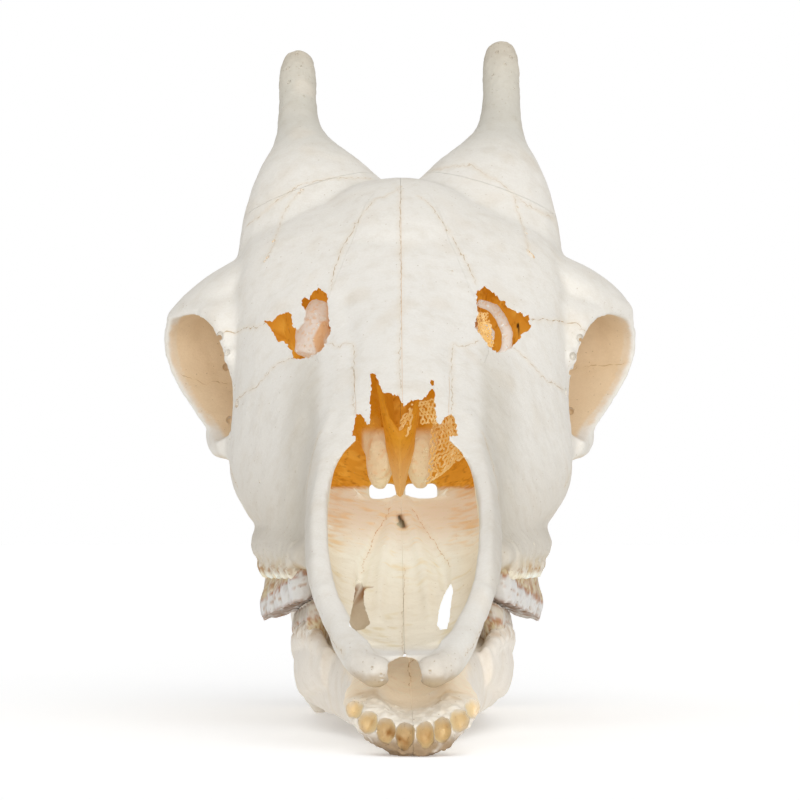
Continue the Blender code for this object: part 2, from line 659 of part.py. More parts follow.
def lower_jaw():
    """Both halves of the lower jaw, cut at the chin."""
    body = body_from_sections("lower_jaw", SYMPHYSIS_SECTIONS, steps=32, around=40)
    pieces = []
    for word, side in SIDES.items():
        route = [(side * x, y, z) for x, y, z in JAW_ROUTE]
        pieces.append(bar(f"jaw_body_{word}", route, JAW_BREADTHS, JAW_HEIGHTS, steps=48))
        pieces.append(ramus(f"ramus_{word}", side))
        pieces.append(bar(
            f"coronoid_{word}",
            [(side * 0.0640, 0.472, 0.105), (side * 0.0680, 0.474, 0.145), (side * 0.0705, 0.498, 0.197)],
            [0.020, 0.0135, 0.0095, 0.0045], [0.0048, 0.0044, 0.0036, 0.0028], up=(1, 0, 0), steps=20,
        ))
        pieces.append(bar(
            f"jaw_neck_{word}",
            [(side * 0.0640, 0.512, 0.095), (side * 0.0680, 0.516, 0.130), (side * 0.0720, 0.520, 0.154)],
            [0.020, 0.012, 0.0075], [0.0055, 0.0060, 0.0085], up=(1, 0, 0), steps=16,
        ))
        pieces.append(bar(
            f"jaw_condyle_{word}",
            [(side * 0.056, 0.519, 0.1520), (side * 0.072, 0.521, 0.1530), (side * 0.088, 0.523, 0.1505)],
            [0.0068, 0.0080, 0.0065], [0.0062, 0.0066, 0.0058], steps=12,
        ))
        # The outer wall of the tooth sockets reaches almost to the biting surface.
        pieces.append(bar(
            f"socket_wall_{word}",
            [(side * 0.0400, 0.188, 0.0400), (side * 0.0462, 0.212, 0.0480), (side * 0.0502, 0.250, 0.0462),
             (side * 0.0520, 0.300, 0.0425), (side * 0.0528, 0.350, 0.0395), (side * 0.0530, 0.400, 0.0410)],
            [0.0040, 0.0056, 0.0060, 0.0060, 0.0060, 0.0050], [0.0050, 0.0080, 0.0090, 0.0090, 0.0095, 0.0100],
        ))
    combine(body, pieces, "UNION")
    soften(body, MANDIBLE_VOXEL, 8)
    cutters = [bar(
        "oral_scoop", [(0, -0.01, 0.030), (0, 0.040, 0.046), (0, 0.090, 0.060), (0, 0.135, 0.071)],
        [0.016, 0.024, 0.019, 0.014], [0.019, 0.025, 0.024, 0.022],
    )]
    for word, side in SIDES.items():
        for count, (x, y, z, radius) in enumerate(SOCKETS):
            away = Vector((x * 14, -0.80, 0.60)).normalized()
            mouth = Vector((x, y, z)) + away * 0.008
            deep = Vector((x, y, z)) - away * 0.014
            cutters.append(bar(
                f"socket_{word}_{count}",
                [(side * p.x, p.y, p.z) for p in (mouth, mouth.lerp(deep, 0.5), deep)],
                [radius + 0.0006, radius, radius * 0.6], steps=8, around=12,
            ))
    combine(body, cutters, "DIFFERENCE")
    soften(body, MANDIBLE_VOXEL, 3)
    swing = Matrix.Translation((JAW_SHIFT, 0, 0)) @ turned(JAW_SWING, JAW_PIVOT)
    body.data.transform(swing)
    thin_out(body, MANDIBLE_TRIANGLES)
    chin_saw = block("chin_saw", (0, 0.1, 0.05), (SUTURE, 0.5, 0.2))
    chin_saw.data.transform(swing)
    floor = block("under_floor", (0, 0.3, -0.05), (0.4, 1.0, 0.10))
    combine(body, [chin_saw, floor], "DIFFERENCE")
    return parted(body, {
        "mandible_right": lambda m: m.x < 0,
        "mandible_left": lambda m: m.x > 0,
    }), swing


def bite(x, y):
    """Height of the surface where the upper and lower teeth meet."""
    row = fair_line(UPPER_ROW)(y)
    return BITE_HEIGHT - BITE_DROP_BACK * (y - UPPER_ROW[0][0]) - BITE_SLOPE * (abs(x) - row)


def tooth(name, centre, length, breadth, heights, yaw, room, place):
    """A cheek tooth: heights of its root, neck and crown, then a worn end that lies a little
    above or below the biting surface. place is the turn that its jaw is given afterwards."""
    rings = []
    for level, share in zip((*heights, None), (0.55, 0.80, 1.00, 0.90)):
        ring = []
        for turn in np.linspace(0, 2 * math.pi, 10, endpoint=False):
            c, s = math.cos(turn), math.sin(turn)
            reach = (abs(c) ** 4 + abs(s) ** 4) ** -0.25
            along = share * reach * c * length / 2
            across = share * reach * s * breadth / 2
            x = centre[0] + across * math.cos(yaw) + along * math.sin(yaw)
            y = centre[1] - across * math.sin(yaw) + along * math.cos(yaw)
            spot = place @ Vector((x, y, 0))
            ring.append((x, y, bite(spot.x, spot.y) + room if level is None else level))
        rings.append(np.array(ring))
    return skin(name, rings)


def tooth_row(side, marks, start, heights, room, place, shrink=1.0):
    """Six cheek teeth along a curve, each set a hair from the next."""
    line = fair_line(marks)
    station = start
    teeth = []
    for name, length, breadth in CHEEK_TEETH:
        middle = station + length / 2
        yaw = side * math.atan((line(station + length) - line(station)) / length)
        centre = (side * float(line(middle)), middle)
        label = f"{name}_{'left' if side > 0 else 'right'}"
        teeth.append(tooth(label, centre, length - 0.0009, breadth * shrink, heights, yaw, room, place))
        station += length
    return teeth


def vomer(name, stations):
    """A thin trough: station, keel, brim and half-breadth of the brim."""
    table = np.array(stations)
    lines = [fair_line(list(zip(table[:, 0], column))) for column in table.T[1:]]
    wall = 0.0024
    rings = []
    for station in np.linspace(table[0, 0], table[-1, 0], 14):
        keel, brim, breadth = [float(line(station)) for line in lines]
        height = brim - keel
        outside = [(0.0, keel), (breadth * 0.62, keel + 0.40 * height), (breadth, brim)]
        inside = [
            (breadth - wall, brim), (breadth * 0.62 - wall, keel + 0.46 * height),
            (0.0, keel + wall + 0.12 * height),
        ]
        half = outside + inside
        ring = half + [(-x, z) for x, z in half[-2:0:-1]]
        rings.append(np.array([(x, station, z) for x, z in ring]))
    return skin(name, rings)


def nose_bones(walls):
    """The thin bones inside the nose, which meet its walls with a hair between."""
    bones = [vomer("vomer", VOMER_STATIONS)]
    for word, side in SIDES.items():
        # A pale lobe beside the vomer that runs up and out to a second one behind the opening
        # in the face.
        scroll = bar(
            f"ethmoid_scroll_{word}",
            [(side * 0.0135, 0.352, 0.136), (side * 0.0175, 0.372, 0.158),
             (side * 0.0260, 0.392, 0.188), (side * 0.0400, 0.392, 0.206)],
            [0.0025, 0.0075, 0.0090, 0.0060], [0.0030, 0.0110, 0.0110, 0.0080], steps=14, around=14,
        )
        lobe = bar(
            f"lobe_{word}",
            [(side * 0.0500, 0.366, 0.1935), (side * 0.0475, 0.374, 0.2075), (side * 0.0420, 0.386, 0.2245)],
            [0.0045, 0.0090, 0.0095, 0.0050], steps=10, around=14,
        )
        combine(scroll, [lobe], "UNION")
        bones.append(scroll)
    bones.append(bar(
        "nose_scroll_left",
        [(0.0400, 0.312, 0.168), (0.0340, 0.320, 0.152), (0.0260, 0.330, 0.137), (0.0160, 0.340, 0.124)],
        [0.0100, 0.0140, 0.0110, 0.0040], [0.0018, 0.0018, 0.0018, 0.0015], steps=10, around=14, up=(0, 1, 0),
    ))
    vomer_first = bones[0]
    for bone in bones:
        around_it = [grown(wall, SUTURE) for wall in walls]
        if bone is not vomer_first:
            around_it.append(grown(vomer_first, SUTURE))
        for piece in around_it:
            combine(bone, [piece], "DIFFERENCE")
        largest(bone)
    return {bone.name: bone for bone in bones}


def finished(bones):
    """Every bone moved into the frame, shaded round and given its material."""
    into_frame = Matrix.Translation((0, -TIP_TO_ORIGIN, 0))
    for name, bone in bones.items():
        kind = name.replace("_left", "").replace("_right", "")
        bone.data.transform(into_frame)
        bone.data.shade_smooth()
        bone.data.set_sharp_from_angle(angle=math.radians(48))
        colour, roughness = BONE_COLOURS[kind]
        material = bpy.data.materials.new("bone of the " + name.replace("_", " "))
        material.use_nodes = True
        surface = material.node_tree.nodes["Principled BSDF"]
        surface.inputs["Base Color"].default_value = (*colour, 1)
        surface.inputs["Roughness"].default_value = roughness
        surface.inputs["Metallic"].default_value = 0
        bone.data.materials.clear()
        bone.data.materials.append(material)


def main():
    remove_everything()
    bones = head_bones()
    head_turn = turned(HEAD_SWING, HEAD_PIVOT)
    jaws, jaw_turn = lower_jaw()
    for word, side in SIDES.items():
        upper = tooth_row(side, UPPER_ROW, 0.207, (0.094, 0.086, 0.073), BITE_ROOM, head_turn)
        combine(bones[f"upper_jaw_{word}"], upper, "UNION")
        lower = tooth_row(side, LOWER_ROW, 0.203, (0.034, 0.045, 0.050), -BITE_ROOM, jaw_turn, 0.80)
        for one in lower:
            one.data.transform(jaw_turn)
        combine(jaws[f"mandible_{word}"], lower, "UNION")
    walls = [bone for name, bone in bones.items() if not name.startswith("ossicone")]
    bones.update(nose_bones(walls))
    for bone in bones.values():
        bone.data.transform(head_turn)
    bones.update(jaws)
    finished(bones)


main()
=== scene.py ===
# %% [markdown]
# # A giraffe skull
# This is a cleaned skull of a young adult giraffe, life size, resting on its lower jaw. The
# camera looks at it from the front, a little from below, into the open nose.
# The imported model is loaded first. It is the fixed frame, and every bone made here takes the
# place of one of its solids.

# %% Load the frame
import itertools
import math

import bmesh
import bpy
import numpy as np
from mathutils import Matrix, Vector
from mathutils.bvhtree import BVHTree
from mathutils.kdtree import KDTree


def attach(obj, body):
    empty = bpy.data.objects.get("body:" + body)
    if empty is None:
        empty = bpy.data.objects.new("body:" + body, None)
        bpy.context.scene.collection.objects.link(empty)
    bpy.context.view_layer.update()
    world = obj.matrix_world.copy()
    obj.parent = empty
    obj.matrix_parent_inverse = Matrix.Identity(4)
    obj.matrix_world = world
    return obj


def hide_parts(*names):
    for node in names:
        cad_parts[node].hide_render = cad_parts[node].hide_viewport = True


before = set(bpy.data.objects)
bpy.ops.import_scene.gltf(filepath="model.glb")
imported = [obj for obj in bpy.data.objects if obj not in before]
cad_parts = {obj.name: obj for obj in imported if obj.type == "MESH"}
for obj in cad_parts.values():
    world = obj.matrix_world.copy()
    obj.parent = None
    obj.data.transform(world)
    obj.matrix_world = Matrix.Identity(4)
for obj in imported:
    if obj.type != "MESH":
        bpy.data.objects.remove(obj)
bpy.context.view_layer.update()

print("solids:", sorted(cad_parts))

# %% [markdown]
# ## Where the skull stands
# A skull is easiest to shape from the tip of its snout backwards, so until the last step a
# length along Y is how far behind that tip a point lies. The frame's origin is under the middle
# of the skull, and the last step moves everything there.
#
# The camera stands 1.77 m in front of the snout, low down. One function turns a pixel of the
# 800 by 800 picture into a line of sight, which is how a mark in the photograph finds its place
# on the bone.

# %% The camera
TIP_TO_ORIGIN = 0.3083
INTO_FRAME = Matrix.Translation((0, -TIP_TO_ORIGIN, 0))
PICTURE = 800
FOCAL_PIXELS = 3982
EYE = Vector((0, -1.77, 0.1))
PITCH = math.atan(132 / FOCAL_PIXELS)


def linked(name, data):
    """An object with this data, in the scene."""
    thing = bpy.data.objects.new(name, data)
    bpy.context.scene.collection.objects.link(thing)
    return thing


eye = bpy.data.cameras.new("eye")
eye.sensor_width = 36
eye.lens = FOCAL_PIXELS / PICTURE * eye.sensor_width
camera = linked("eye", eye)
camera.location = INTO_FRAME @ EYE
camera.rotation_euler = (math.pi / 2 + PITCH, 0, 0)
bpy.context.scene.camera = camera


def sight(across, down):
    """The direction in which the camera sees a pixel."""
    side, rise = (across - PICTURE / 2) / FOCAL_PIXELS, (PICTURE / 2 - down) / FOCAL_PIXELS
    ahead, up = math.cos(PITCH), math.sin(PITCH)
    return Vector((side, ahead - rise * up, up + rise * ahead)).normalized()


print(f"a {eye.lens:.1f} mm lens, tilted up {math.degrees(PITCH):.2f} degrees")

# %% [markdown]
# ## Floor and light
# The photograph is taken in a white studio. The skull stands on a white sheet that is lit from
# beneath too, the light comes softly from everywhere, and more of it comes from above and from
# the front, low enough to reach into the nose. A sun lamp with a very wide angle acts as an
# endless softbox, so the sheet is evenly white up to its far edge and only a soft shadow shows.

# %% Paper, sky and lamps
SKY = 0.52
PAPER_GLOW = 0.25
PAPER_SIZE = 60.0


def wired(tree, made, inputs):
    """A node with its inputs set, or linked to a socket or to another node's first live output."""
    for key, value in inputs.items():
        if isinstance(value, bpy.types.Node):
            value = next(output for output in value.outputs if output.enabled)
        if isinstance(value, bpy.types.NodeSocket):
            tree.links.new(value, made.inputs[key])
        else:
            made.inputs[key].default_value = value
    return made


def node(tree, kind, inputs=None, **settings):
    """One node of a tree, with its settings and inputs. A plain kind is a shader node."""
    made = tree.nodes.new(kind if "Node" in kind else "ShaderNode" + kind)
    for key, value in settings.items():
        setattr(made, key, value)
    return wired(tree, made, inputs or {})


def linear(colour):
    """An sRGB colour like #E5E1D8 as linear red, green, blue and 1."""
    parts = [int(colour[i:i + 2], 16) / 255 for i in (1, 3, 5)]
    return (*[c / 12.92 if c <= 0.04045 else ((c + 0.055) / 1.055) ** 2.4 for c in parts], 1.0)


bpy.context.scene.view_settings.view_transform = "Standard"
sky = bpy.data.worlds.new("white studio")
bpy.context.scene.world = sky
sky.use_nodes = True
sky.node_tree.nodes.clear()
white_wall = node(sky.node_tree, "Background", {"Color": (1, 1, 1, 1), "Strength": 1.0})
soft_light = node(sky.node_tree, "Background", {"Color": (1, 1, 1, 1), "Strength": SKY})
seen = node(sky.node_tree, "LightPath").outputs["Is Camera Ray"]
both = node(sky.node_tree, "MixShader", {0: seen, 1: soft_light, 2: white_wall})
node(sky.node_tree, "OutputWorld", {"Surface": both})

lamps = (
    # name, strength, width of the light in degrees, how high it stands, how far to the right
    ("overhead softbox", 0.55, 70, 74, 10),
    ("front softbox", 0.65, 50, 24, 12),
    ("low front softbox", 1.15, 26, 3, 3),
)
for name, strength, width, height, swing in lamps:
    lamp = bpy.data.lights.new(name, "SUN")
    lamp.energy = strength
    lamp.angle = math.radians(width)
    linked(name, lamp).rotation_euler = (math.radians(90 - height), 0, math.radians(swing))

paper_mesh = bpy.data.meshes.new("paper")
half = PAPER_SIZE / 2
corners = [(-half, -half, 0), (half, -half, 0), (half, half, 0), (-half, half, 0)]
paper_mesh.from_pydata(corners, [], [(0, 1, 2, 3)])
paper = linked("paper", paper_mesh)
# Uncoated white background paper: it scatters nearly all light, lets some through from the
# lamps beneath it and has no shine.
white_paper = bpy.data.materials.new("white background paper")
white_paper.use_nodes = True
wired(white_paper.node_tree, white_paper.node_tree.nodes["Principled BSDF"], {
    "Base Color": linear("#FAFAFA"), "Roughness": 0.9, "Specular IOR Level": 0.0,
    "Emission Color": (1, 1, 1, 1), "Emission Strength": PAPER_GLOW,
})
paper_mesh.materials.append(white_paper)
print("paper", PAPER_SIZE, "m wide,", len(lamps), "lamps")

# %% [markdown]
# ## Lines and lofts
# A boat builder draws a hull as a few fair lines through measured marks. A skull can be drawn
# the same way: half-breadths and heights at stations along its length. Three helpers make a
# smooth line through marks, a smooth path through points and a smooth closed ring, and lofts
# through such rings give every closed body that the bones are joined from.

# %% Fair lines
def fair_line(marks):
    """A smooth curve through (station, value) marks, as a function of the station."""
    place, value = np.array(marks, float).T
    slope = np.gradient(value, place)

    def read(station):
        s = np.clip(station, place[0], place[-1])
        i = np.clip(np.searchsorted(place, s) - 1, 0, len(place) - 2)
        step = place[i + 1] - place[i]
        t = (s - place[i]) / step
        return (
            value[i] * (1 + 2 * t) * (1 - t) ** 2
            + value[i + 1] * t * t * (3 - 2 * t)
            + step * (slope[i] * t * (1 - t) ** 2 - slope[i + 1] * t * t * (1 - t))
        )

    return read


def fair_lines(table):
    """A smooth curve for each further column of a table whose first column is the station."""
    table = np.array(table, float)
    return [fair_line(list(zip(table[:, 0], column))) for column in table.T[1:]]


def fair_path(points, count):
    """That many points along a smooth curve through the given ones."""
    points = np.array(points, float)
    reach = np.r_[0, np.cumsum(np.linalg.norm(np.diff(points, axis=0), axis=1))]
    at = np.linspace(0, reach[-1], count)
    return np.stack([fair_line(list(zip(reach, column)))(at) for column in points.T], axis=1)


def closed_ring(corners, count):
    """A closed smooth ring through the corners."""
    corners = np.array(corners, float)
    wrapped = np.vstack([corners[-2:], corners, corners[:3]])
    knots = np.arange(-2, len(corners) + 3)
    at = np.linspace(0, len(corners), count, endpoint=False)
    return np.stack(
        [fair_line(list(zip(knots, column)))(at) for column in wrapped.T], axis=1
    )

# %% Closed bodies
def placed(name, shape, mesh=None):
    """An object with a mesh made from a bmesh, which is freed."""
    mesh = mesh or bpy.data.meshes.new(name)
    shape.to_mesh(mesh)
    shape.free()
    return linked(name, mesh)


def mesh_object(name, points, faces):
    """A mesh object whose faces point outwards."""
    mesh = bpy.data.meshes.new(name)
    mesh.from_pydata([tuple(p) for p in points], [], faces)
    shape = bmesh.new()
    shape.from_mesh(mesh)
    bmesh.ops.remove_doubles(shape, verts=shape.verts, dist=1e-6)
    bmesh.ops.recalc_face_normals(shape, faces=shape.faces)
    return placed(name, shape, mesh)


def skin(name, rings):
    """A closed body through a row of rings with as many points each."""
    count = len(rings[0])
    points = np.concatenate(rings)
    faces = [list(range(count))[::-1]]
    for row in range(len(rings) - 1):
        base = row * count
        for i in range(count):
            j = (i + 1) % count
            faces.append([base + i, base + j, base + count + j, base + count + i])
    faces.append(list(range((len(rings) - 1) * count, len(rings) * count)))
    return mesh_object(name, points, faces)


def bar(name, route, across, along=None, steps=24, around=20, up=(0, 0, 1)):
    """A round bar along a smooth route. across and along give its half-thicknesses at even
    steps of the route, sideways and towards up."""
    path = fair_path(route, steps)
    share = np.linspace(0, 1, steps)
    wide = np.interp(share, np.linspace(0, 1, len(across)), across)
    along = across if along is None else along
    tall = np.interp(share, np.linspace(0, 1, len(along)), along)
    heading = np.gradient(path, axis=0)
    heading /= np.linalg.norm(heading, axis=1)[:, None]
    side = np.cross(heading, np.array(up, float))
    side /= np.linalg.norm(side, axis=1)[:, None]
    over = np.cross(side, heading)
    angle = np.linspace(0, 2 * math.pi, around, endpoint=False)
    rings = [
        path[i]
        + np.outer(wide[i] * np.cos(angle), side[i])
        + np.outer(tall[i] * np.sin(angle), over[i])
        for i in range(steps)
    ]
    return skin(name, rings)


def ball(name, centre, radii):
    """An ellipsoid."""
    shape = bmesh.new()
    bmesh.ops.create_icosphere(shape, subdivisions=4, radius=1)
    shape.transform(Matrix.Translation(centre) @ Matrix.Diagonal((*radii, 1)))
    return placed(name, shape)


def block(name, centre, size):
    """A rectangular block."""
    shape = bmesh.new()
    bmesh.ops.create_cube(shape, size=1)
    # The half turn only changes the order of the corners.
    half_turn = Vector((0, 0, 1)).to_track_quat("Z", "Y").to_matrix().to_4x4()
    shape.transform(Matrix.Translation(centre) @ half_turn @ Matrix.Diagonal((*size, 1)))
    return placed(name, shape)

# %% [markdown]
# ## The working steps
# The bodies are joined with Boolean modifiers. A voxel remesh then makes one even surface over
# all of them and a little smoothing wears the joins away, as skin and muscle do on real bone.
# The modifiers are applied at once, so each step starts from a plain mesh.

# %% Joining, softening and copying
def baked(thing):
    """The object with its modifiers applied."""
    graph = bpy.context.evaluated_depsgraph_get()
    mesh = bpy.data.meshes.new_from_object(thing.evaluated_get(graph))
    thing.modifiers.clear()
    thing.data = mesh
    return thing


def combine(thing, pieces, operation):
    """One Boolean with a collection of closed pieces, which are then removed."""
    group = bpy.data.collections.new(thing.name + "_pieces")
    for piece in pieces:
        group.objects.link(piece)
    step = thing.modifiers.new(operation.lower(), "BOOLEAN")
    step.operand_type = "COLLECTION"
    step.collection = group
    step.operation = operation
    step.solver = "MANIFOLD"
    baked(thing)
    for piece in pieces:
        bpy.data.objects.remove(piece)
    bpy.data.collections.remove(group)
    return thing


def copied(thing, name):
    """A separate copy of an object."""
    return linked(name, thing.data.copy())


def grown(thing, amount):
    """A copy of a body swollen by a small amount all over."""
    twin = copied(thing, thing.name + "_grown")
    step = twin.modifiers.new("swell", "DISPLACE")
    step.mid_level = 0
    step.strength = amount
    return baked(twin)


def soften(thing, voxel, passes):
    """One even surface over all of it, worn smooth."""
    grid = thing.modifiers.new("even", "REMESH")
    grid.mode = "VOXEL"
    grid.voxel_size = voxel
    grid.adaptivity = 0
    if passes:
        wear = thing.modifiers.new("wear", "SMOOTH")
        wear.factor = 0.5
        wear.iterations = passes
    return baked(thing)


def bodies_of(thing):
    """The closed surfaces of a mesh as objects of their own."""
    bpy.ops.object.select_all(action="DESELECT")
    thing.select_set(True)
    bpy.context.view_layer.objects.active = thing
    bpy.ops.mesh.separate(type="LOOSE")
    return list(bpy.context.selected_objects)


def middle_of(thing):
    """The middle of an object's box."""
    return sum((Vector(corner) for corner in thing.bound_box), Vector()) / 8


def largest(thing, name):
    """The largest closed surface alone. Crumbs that a cut leaves are thrown away."""
    bodies = sorted(bodies_of(thing), key=lambda body: -len(body.data.polygons))
    for crumb in bodies[1:]:
        bpy.data.objects.remove(crumb)
    bodies[0].name = name
    return bodies[0]


def shared_out(thing, names):
    """The closed surfaces by name. names says, for each, where its middle lies."""
    bodies = sorted(bodies_of(thing), key=lambda body: -len(body.data.polygons))
    found = {}
    for body in bodies:
        fits = [name for name, test in names.items() if test(middle_of(body)) and name not in found]
        if fits and len(body.data.polygons) > 500:
            found[fits[0]] = body
        else:
            bpy.data.objects.remove(body)
    for name, body in found.items():
        body.name = name
    return found

# %% [markdown]
# ## The skull in numbers
# These tables are the skull's design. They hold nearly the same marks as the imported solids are
# made from, so the fine bones lie where the solids do.

# %% Tables of the head and the jaw
# The fine bones are cut apart more finely than the solids, which keep 0.4 mm between them.
SUTURE = 0.00012
CORONAL_STATION = 0.48
SIDES = {"right": -1, "left": 1}

# The head's outer form: station, palate height, crown height, then half-breadths near the
# palate, at the flank and at the shoulder.
CRANIUM_SECTIONS = [
    (0.022, 0.03, 0.041, 0.012, 0.0165, 0.014),
    (0.036, 0.03, 0.047, 0.0165, 0.021, 0.02),
    (0.07, 0.036, 0.063, 0.024, 0.03, 0.032),
    (0.12, 0.05, 0.091, 0.0345, 0.042, 0.043),
    (0.16, 0.063, 0.115, 0.041, 0.0455, 0.0445),
    (0.2, 0.074, 0.141, 0.045, 0.047, 0.043),
    (0.24, 0.083, 0.173, 0.053, 0.053, 0.0395),
    (0.28, 0.089, 0.202, 0.066, 0.064, 0.041),
    (0.32, 0.094, 0.229, 0.077, 0.077, 0.052),
    (0.36, 0.1, 0.257, 0.083, 0.088, 0.067),
    (0.4, 0.115, 0.281, 0.072, 0.09, 0.079),
    (0.44, 0.134, 0.294, 0.046, 0.081, 0.083),
    (0.48, 0.146, 0.298, 0.04, 0.07, 0.0825),
    (0.52, 0.151, 0.292, 0.041, 0.065, 0.077),
    (0.56, 0.152, 0.274, 0.044, 0.066, 0.065),
    (0.592, 0.156, 0.248, 0.04, 0.059, 0.05),
]
LOW_LEVEL, FLANK_LEVEL, SHOULDER_LEVEL = 0.1, 0.45, 0.82

# The nasal cavity inside it, in the same columns: floor, roof, three half-breadths.
CAVITY_SECTIONS = [
    (0.05, 0.046, 0.09, 0.017, 0.0215, 0.023),
    (0.075, 0.05, 0.1, 0.023, 0.0285, 0.03),
    (0.12, 0.061, 0.125, 0.029, 0.035, 0.035),
    (0.16, 0.073, 0.147, 0.033, 0.0368, 0.033),
    (0.2, 0.084, 0.15, 0.0365, 0.037, 0.029),
    (0.24, 0.093, 0.166, 0.042, 0.043, 0.027),
    (0.28, 0.102, 0.197, 0.047, 0.051, 0.034),
    (0.32, 0.111, 0.224, 0.049, 0.06, 0.045),
    (0.36, 0.12, 0.252, 0.044, 0.064, 0.06),
    (0.4, 0.14, 0.266, 0.03, 0.054, 0.056),
    (0.43, 0.16, 0.262, 0.015, 0.03, 0.035),
]

# The orbit: a tube that opens outwards, forwards and a little downwards. Its rim is an egg in
# the plane across that axis, given by how far back and how far up each mark lies.
ORBIT_CENTRE = (0.113, 0.43, 0.184)
ORBIT_AXIS = (0.88, -0.4, -0.26)
ORBIT_RIM = [
    (-0.002, 0.04), (0.02, 0.037), (0.037, 0.023), (0.036, 0.003), (0.016, -0.02), (-0.009, -0.038),
    (-0.03, -0.037), (-0.049, -0.02), (-0.055, 0.004), (-0.046, 0.029), (-0.025, 0.039),
]

# The nasal bones seen from above: half-breadth by station.
NASAL_EDGE = [
    (0.19, 0.0235), (0.25, 0.0242), (0.271, 0.0265), (0.285, 0.04), (0.325, 0.0405),
    (0.342, 0.034), (0.365, 0.0265), (0.398, 0.016), (0.42, 0.0035),
]

# Cheek teeth from front to back: length along the row, breadth across it.
CHEEK_TEETH = [
    ("p2", 0.019, 0.014), ("p3", 0.021, 0.017), ("p4", 0.021, 0.019),
    ("m1", 0.027, 0.021), ("m2", 0.03, 0.022), ("m3", 0.03, 0.021),
]
UPPER_ROW = [(0.205, 0.048), (0.24, 0.0528), (0.28, 0.0585), (0.32, 0.0628), (0.36, 0.0636)]
LOWER_ROW = [(0.2, 0.0435), (0.24, 0.0448), (0.28, 0.0468), (0.32, 0.0485), (0.36, 0.05)]
UPPER_ROW_START, LOWER_ROW_START = 0.207, 0.203
# The biting surfaces slope down outwards and backwards, and a hair of room is left between
# the two rows.
BITE_HEIGHT = 0.065
BITE_DROP_BACK = 0.075
BITE_SLOPE = 0.28
BITE_ROOM = 0.001

# Lower jaw, one side: centre line with half-breadths and half-heights along it.
JAW_ROUTE = [
    (0.014, 0.05, 0.018), (0.0165, 0.08, 0.0215), (0.02, 0.12, 0.023),
    (0.0285, 0.18, 0.0255), (0.038, 0.24, 0.0285), (0.044, 0.3, 0.032),
    (0.0462, 0.36, 0.036), (0.047, 0.42, 0.04), (0.047, 0.47, 0.045),
]
JAW_BREADTHS = [0.011, 0.01, 0.0092, 0.0092, 0.0098, 0.0104, 0.0106, 0.0098, 0.007]
JAW_HEIGHTS = [0.0125, 0.0158, 0.018, 0.0182, 0.02, 0.023, 0.027, 0.036, 0.0445]
# The ramus by height: how far out, front edge, back edge, thickness.
RAMUS_LEVELS = [
    (-0.001, 0.043, 0.44, 0.49, 0.007), (0.006, 0.0455, 0.422, 0.508, 0.009),
    (0.02, 0.049, 0.404, 0.526, 0.01), (0.045, 0.0535, 0.4, 0.538, 0.01),
    (0.075, 0.0585, 0.418, 0.538, 0.009), (0.1, 0.062, 0.438, 0.536, 0.009),
    (0.118, 0.0645, 0.45, 0.534, 0.009), (0.126, 0.0655, 0.456, 0.533, 0.008),
]
SYMPHYSIS_SECTIONS = [
    (0.004, 0.002, 0.012, 0.0045, 0.0095, 0.009),
    (0.013, -0.001, 0.019, 0.008, 0.0175, 0.019),
    (0.03, -0.001, 0.026, 0.0115, 0.0245, 0.028),
    (0.06, -0.001, 0.032, 0.0125, 0.0255, 0.03),
    (0.09, 0.001, 0.037, 0.0135, 0.025, 0.027),
    (0.13, 0.006, 0.041, 0.015, 0.023, 0.023),
    (0.16, 0.013, 0.038, 0.018, 0.023, 0.022),
]
# The vomer: station, keel, brim, half-breadth of the brim.
VOMER_STATIONS = [
    (0.318, 0.147, 0.177, 0.0125), (0.331, 0.13, 0.18, 0.0125), (0.345, 0.117, 0.183, 0.0118),
    (0.38, 0.118, 0.184, 0.0095), (0.445, 0.14, 0.186, 0.007),
]
# How far the skull and its jaw are turned from straight, and where they turn about.
HEAD_SWING = math.radians(0.28)
HEAD_PIVOT = (0.0, 0.47)
JAW_SWING = math.radians(0.85)
JAW_PIVOT = (0.0, 0.5)
JAW_SHIFT = -0.0015

def turned(angle, pivot):
    """A turn about an upright line through the pivot."""
    there = Matrix.Translation((*pivot, 0))
    return there @ Matrix.Rotation(angle, 4, "Z") @ there.inverted()


HEAD_TURN = turned(HEAD_SWING, HEAD_PIVOT)
print(len(CRANIUM_SECTIONS), "stations of the head,", len(SYMPHYSIS_SECTIONS), "of the chin")

# %% [markdown]
# ## The head's outer form
# The long braincase and face are one loft. Bars and balls are added for the parts that stand out
# of it: the tubes of the orbits, the brows, the cheeks, the arches back to the jaw joint, the
# flared feet of the ossicones, the tooth-bearing bone and the rounded rim of the nose.

# %% Shape the head
HEAD_VOXEL = 0.0013
WEAR = (0.0022 / HEAD_VOXEL) ** 2


def half_outline(bottom, top, low, flank, shoulder):
    """One cross-section, as the eight corners of a closed ring."""
    height = top - bottom
    right = [
        (low, bottom + LOW_LEVEL * height),
        (flank, bottom + FLANK_LEVEL * height),
        (shoulder, bottom + SHOULDER_LEVEL * height),
    ]
    left = [(-x, z) for x, z in reversed(right)]
    return [(0, bottom), *right, (0, top), *left]


def body_from_sections(name, sections, steps=64, around=64):
    """A closed body whose cross-sections follow the table's lines smoothly."""
    lines = fair_lines(sections)
    rings = []
    for station in np.linspace(sections[0][0], sections[-1][0], steps):
        outline = closed_ring(half_outline(*[line(station) for line in lines]), around)
        rings.append(np.insert(outline, 1, station, axis=1))
    return skin(name, rings)


def orbit_directions():
    """Outwards along the orbit's axis, then backwards and upwards across it."""
    out = np.array(ORBIT_AXIS) / np.linalg.norm(ORBIT_AXIS)
    back = np.cross((0, 0, 1), out)
    back /= np.linalg.norm(back)
    return out, back, np.cross(out, back)


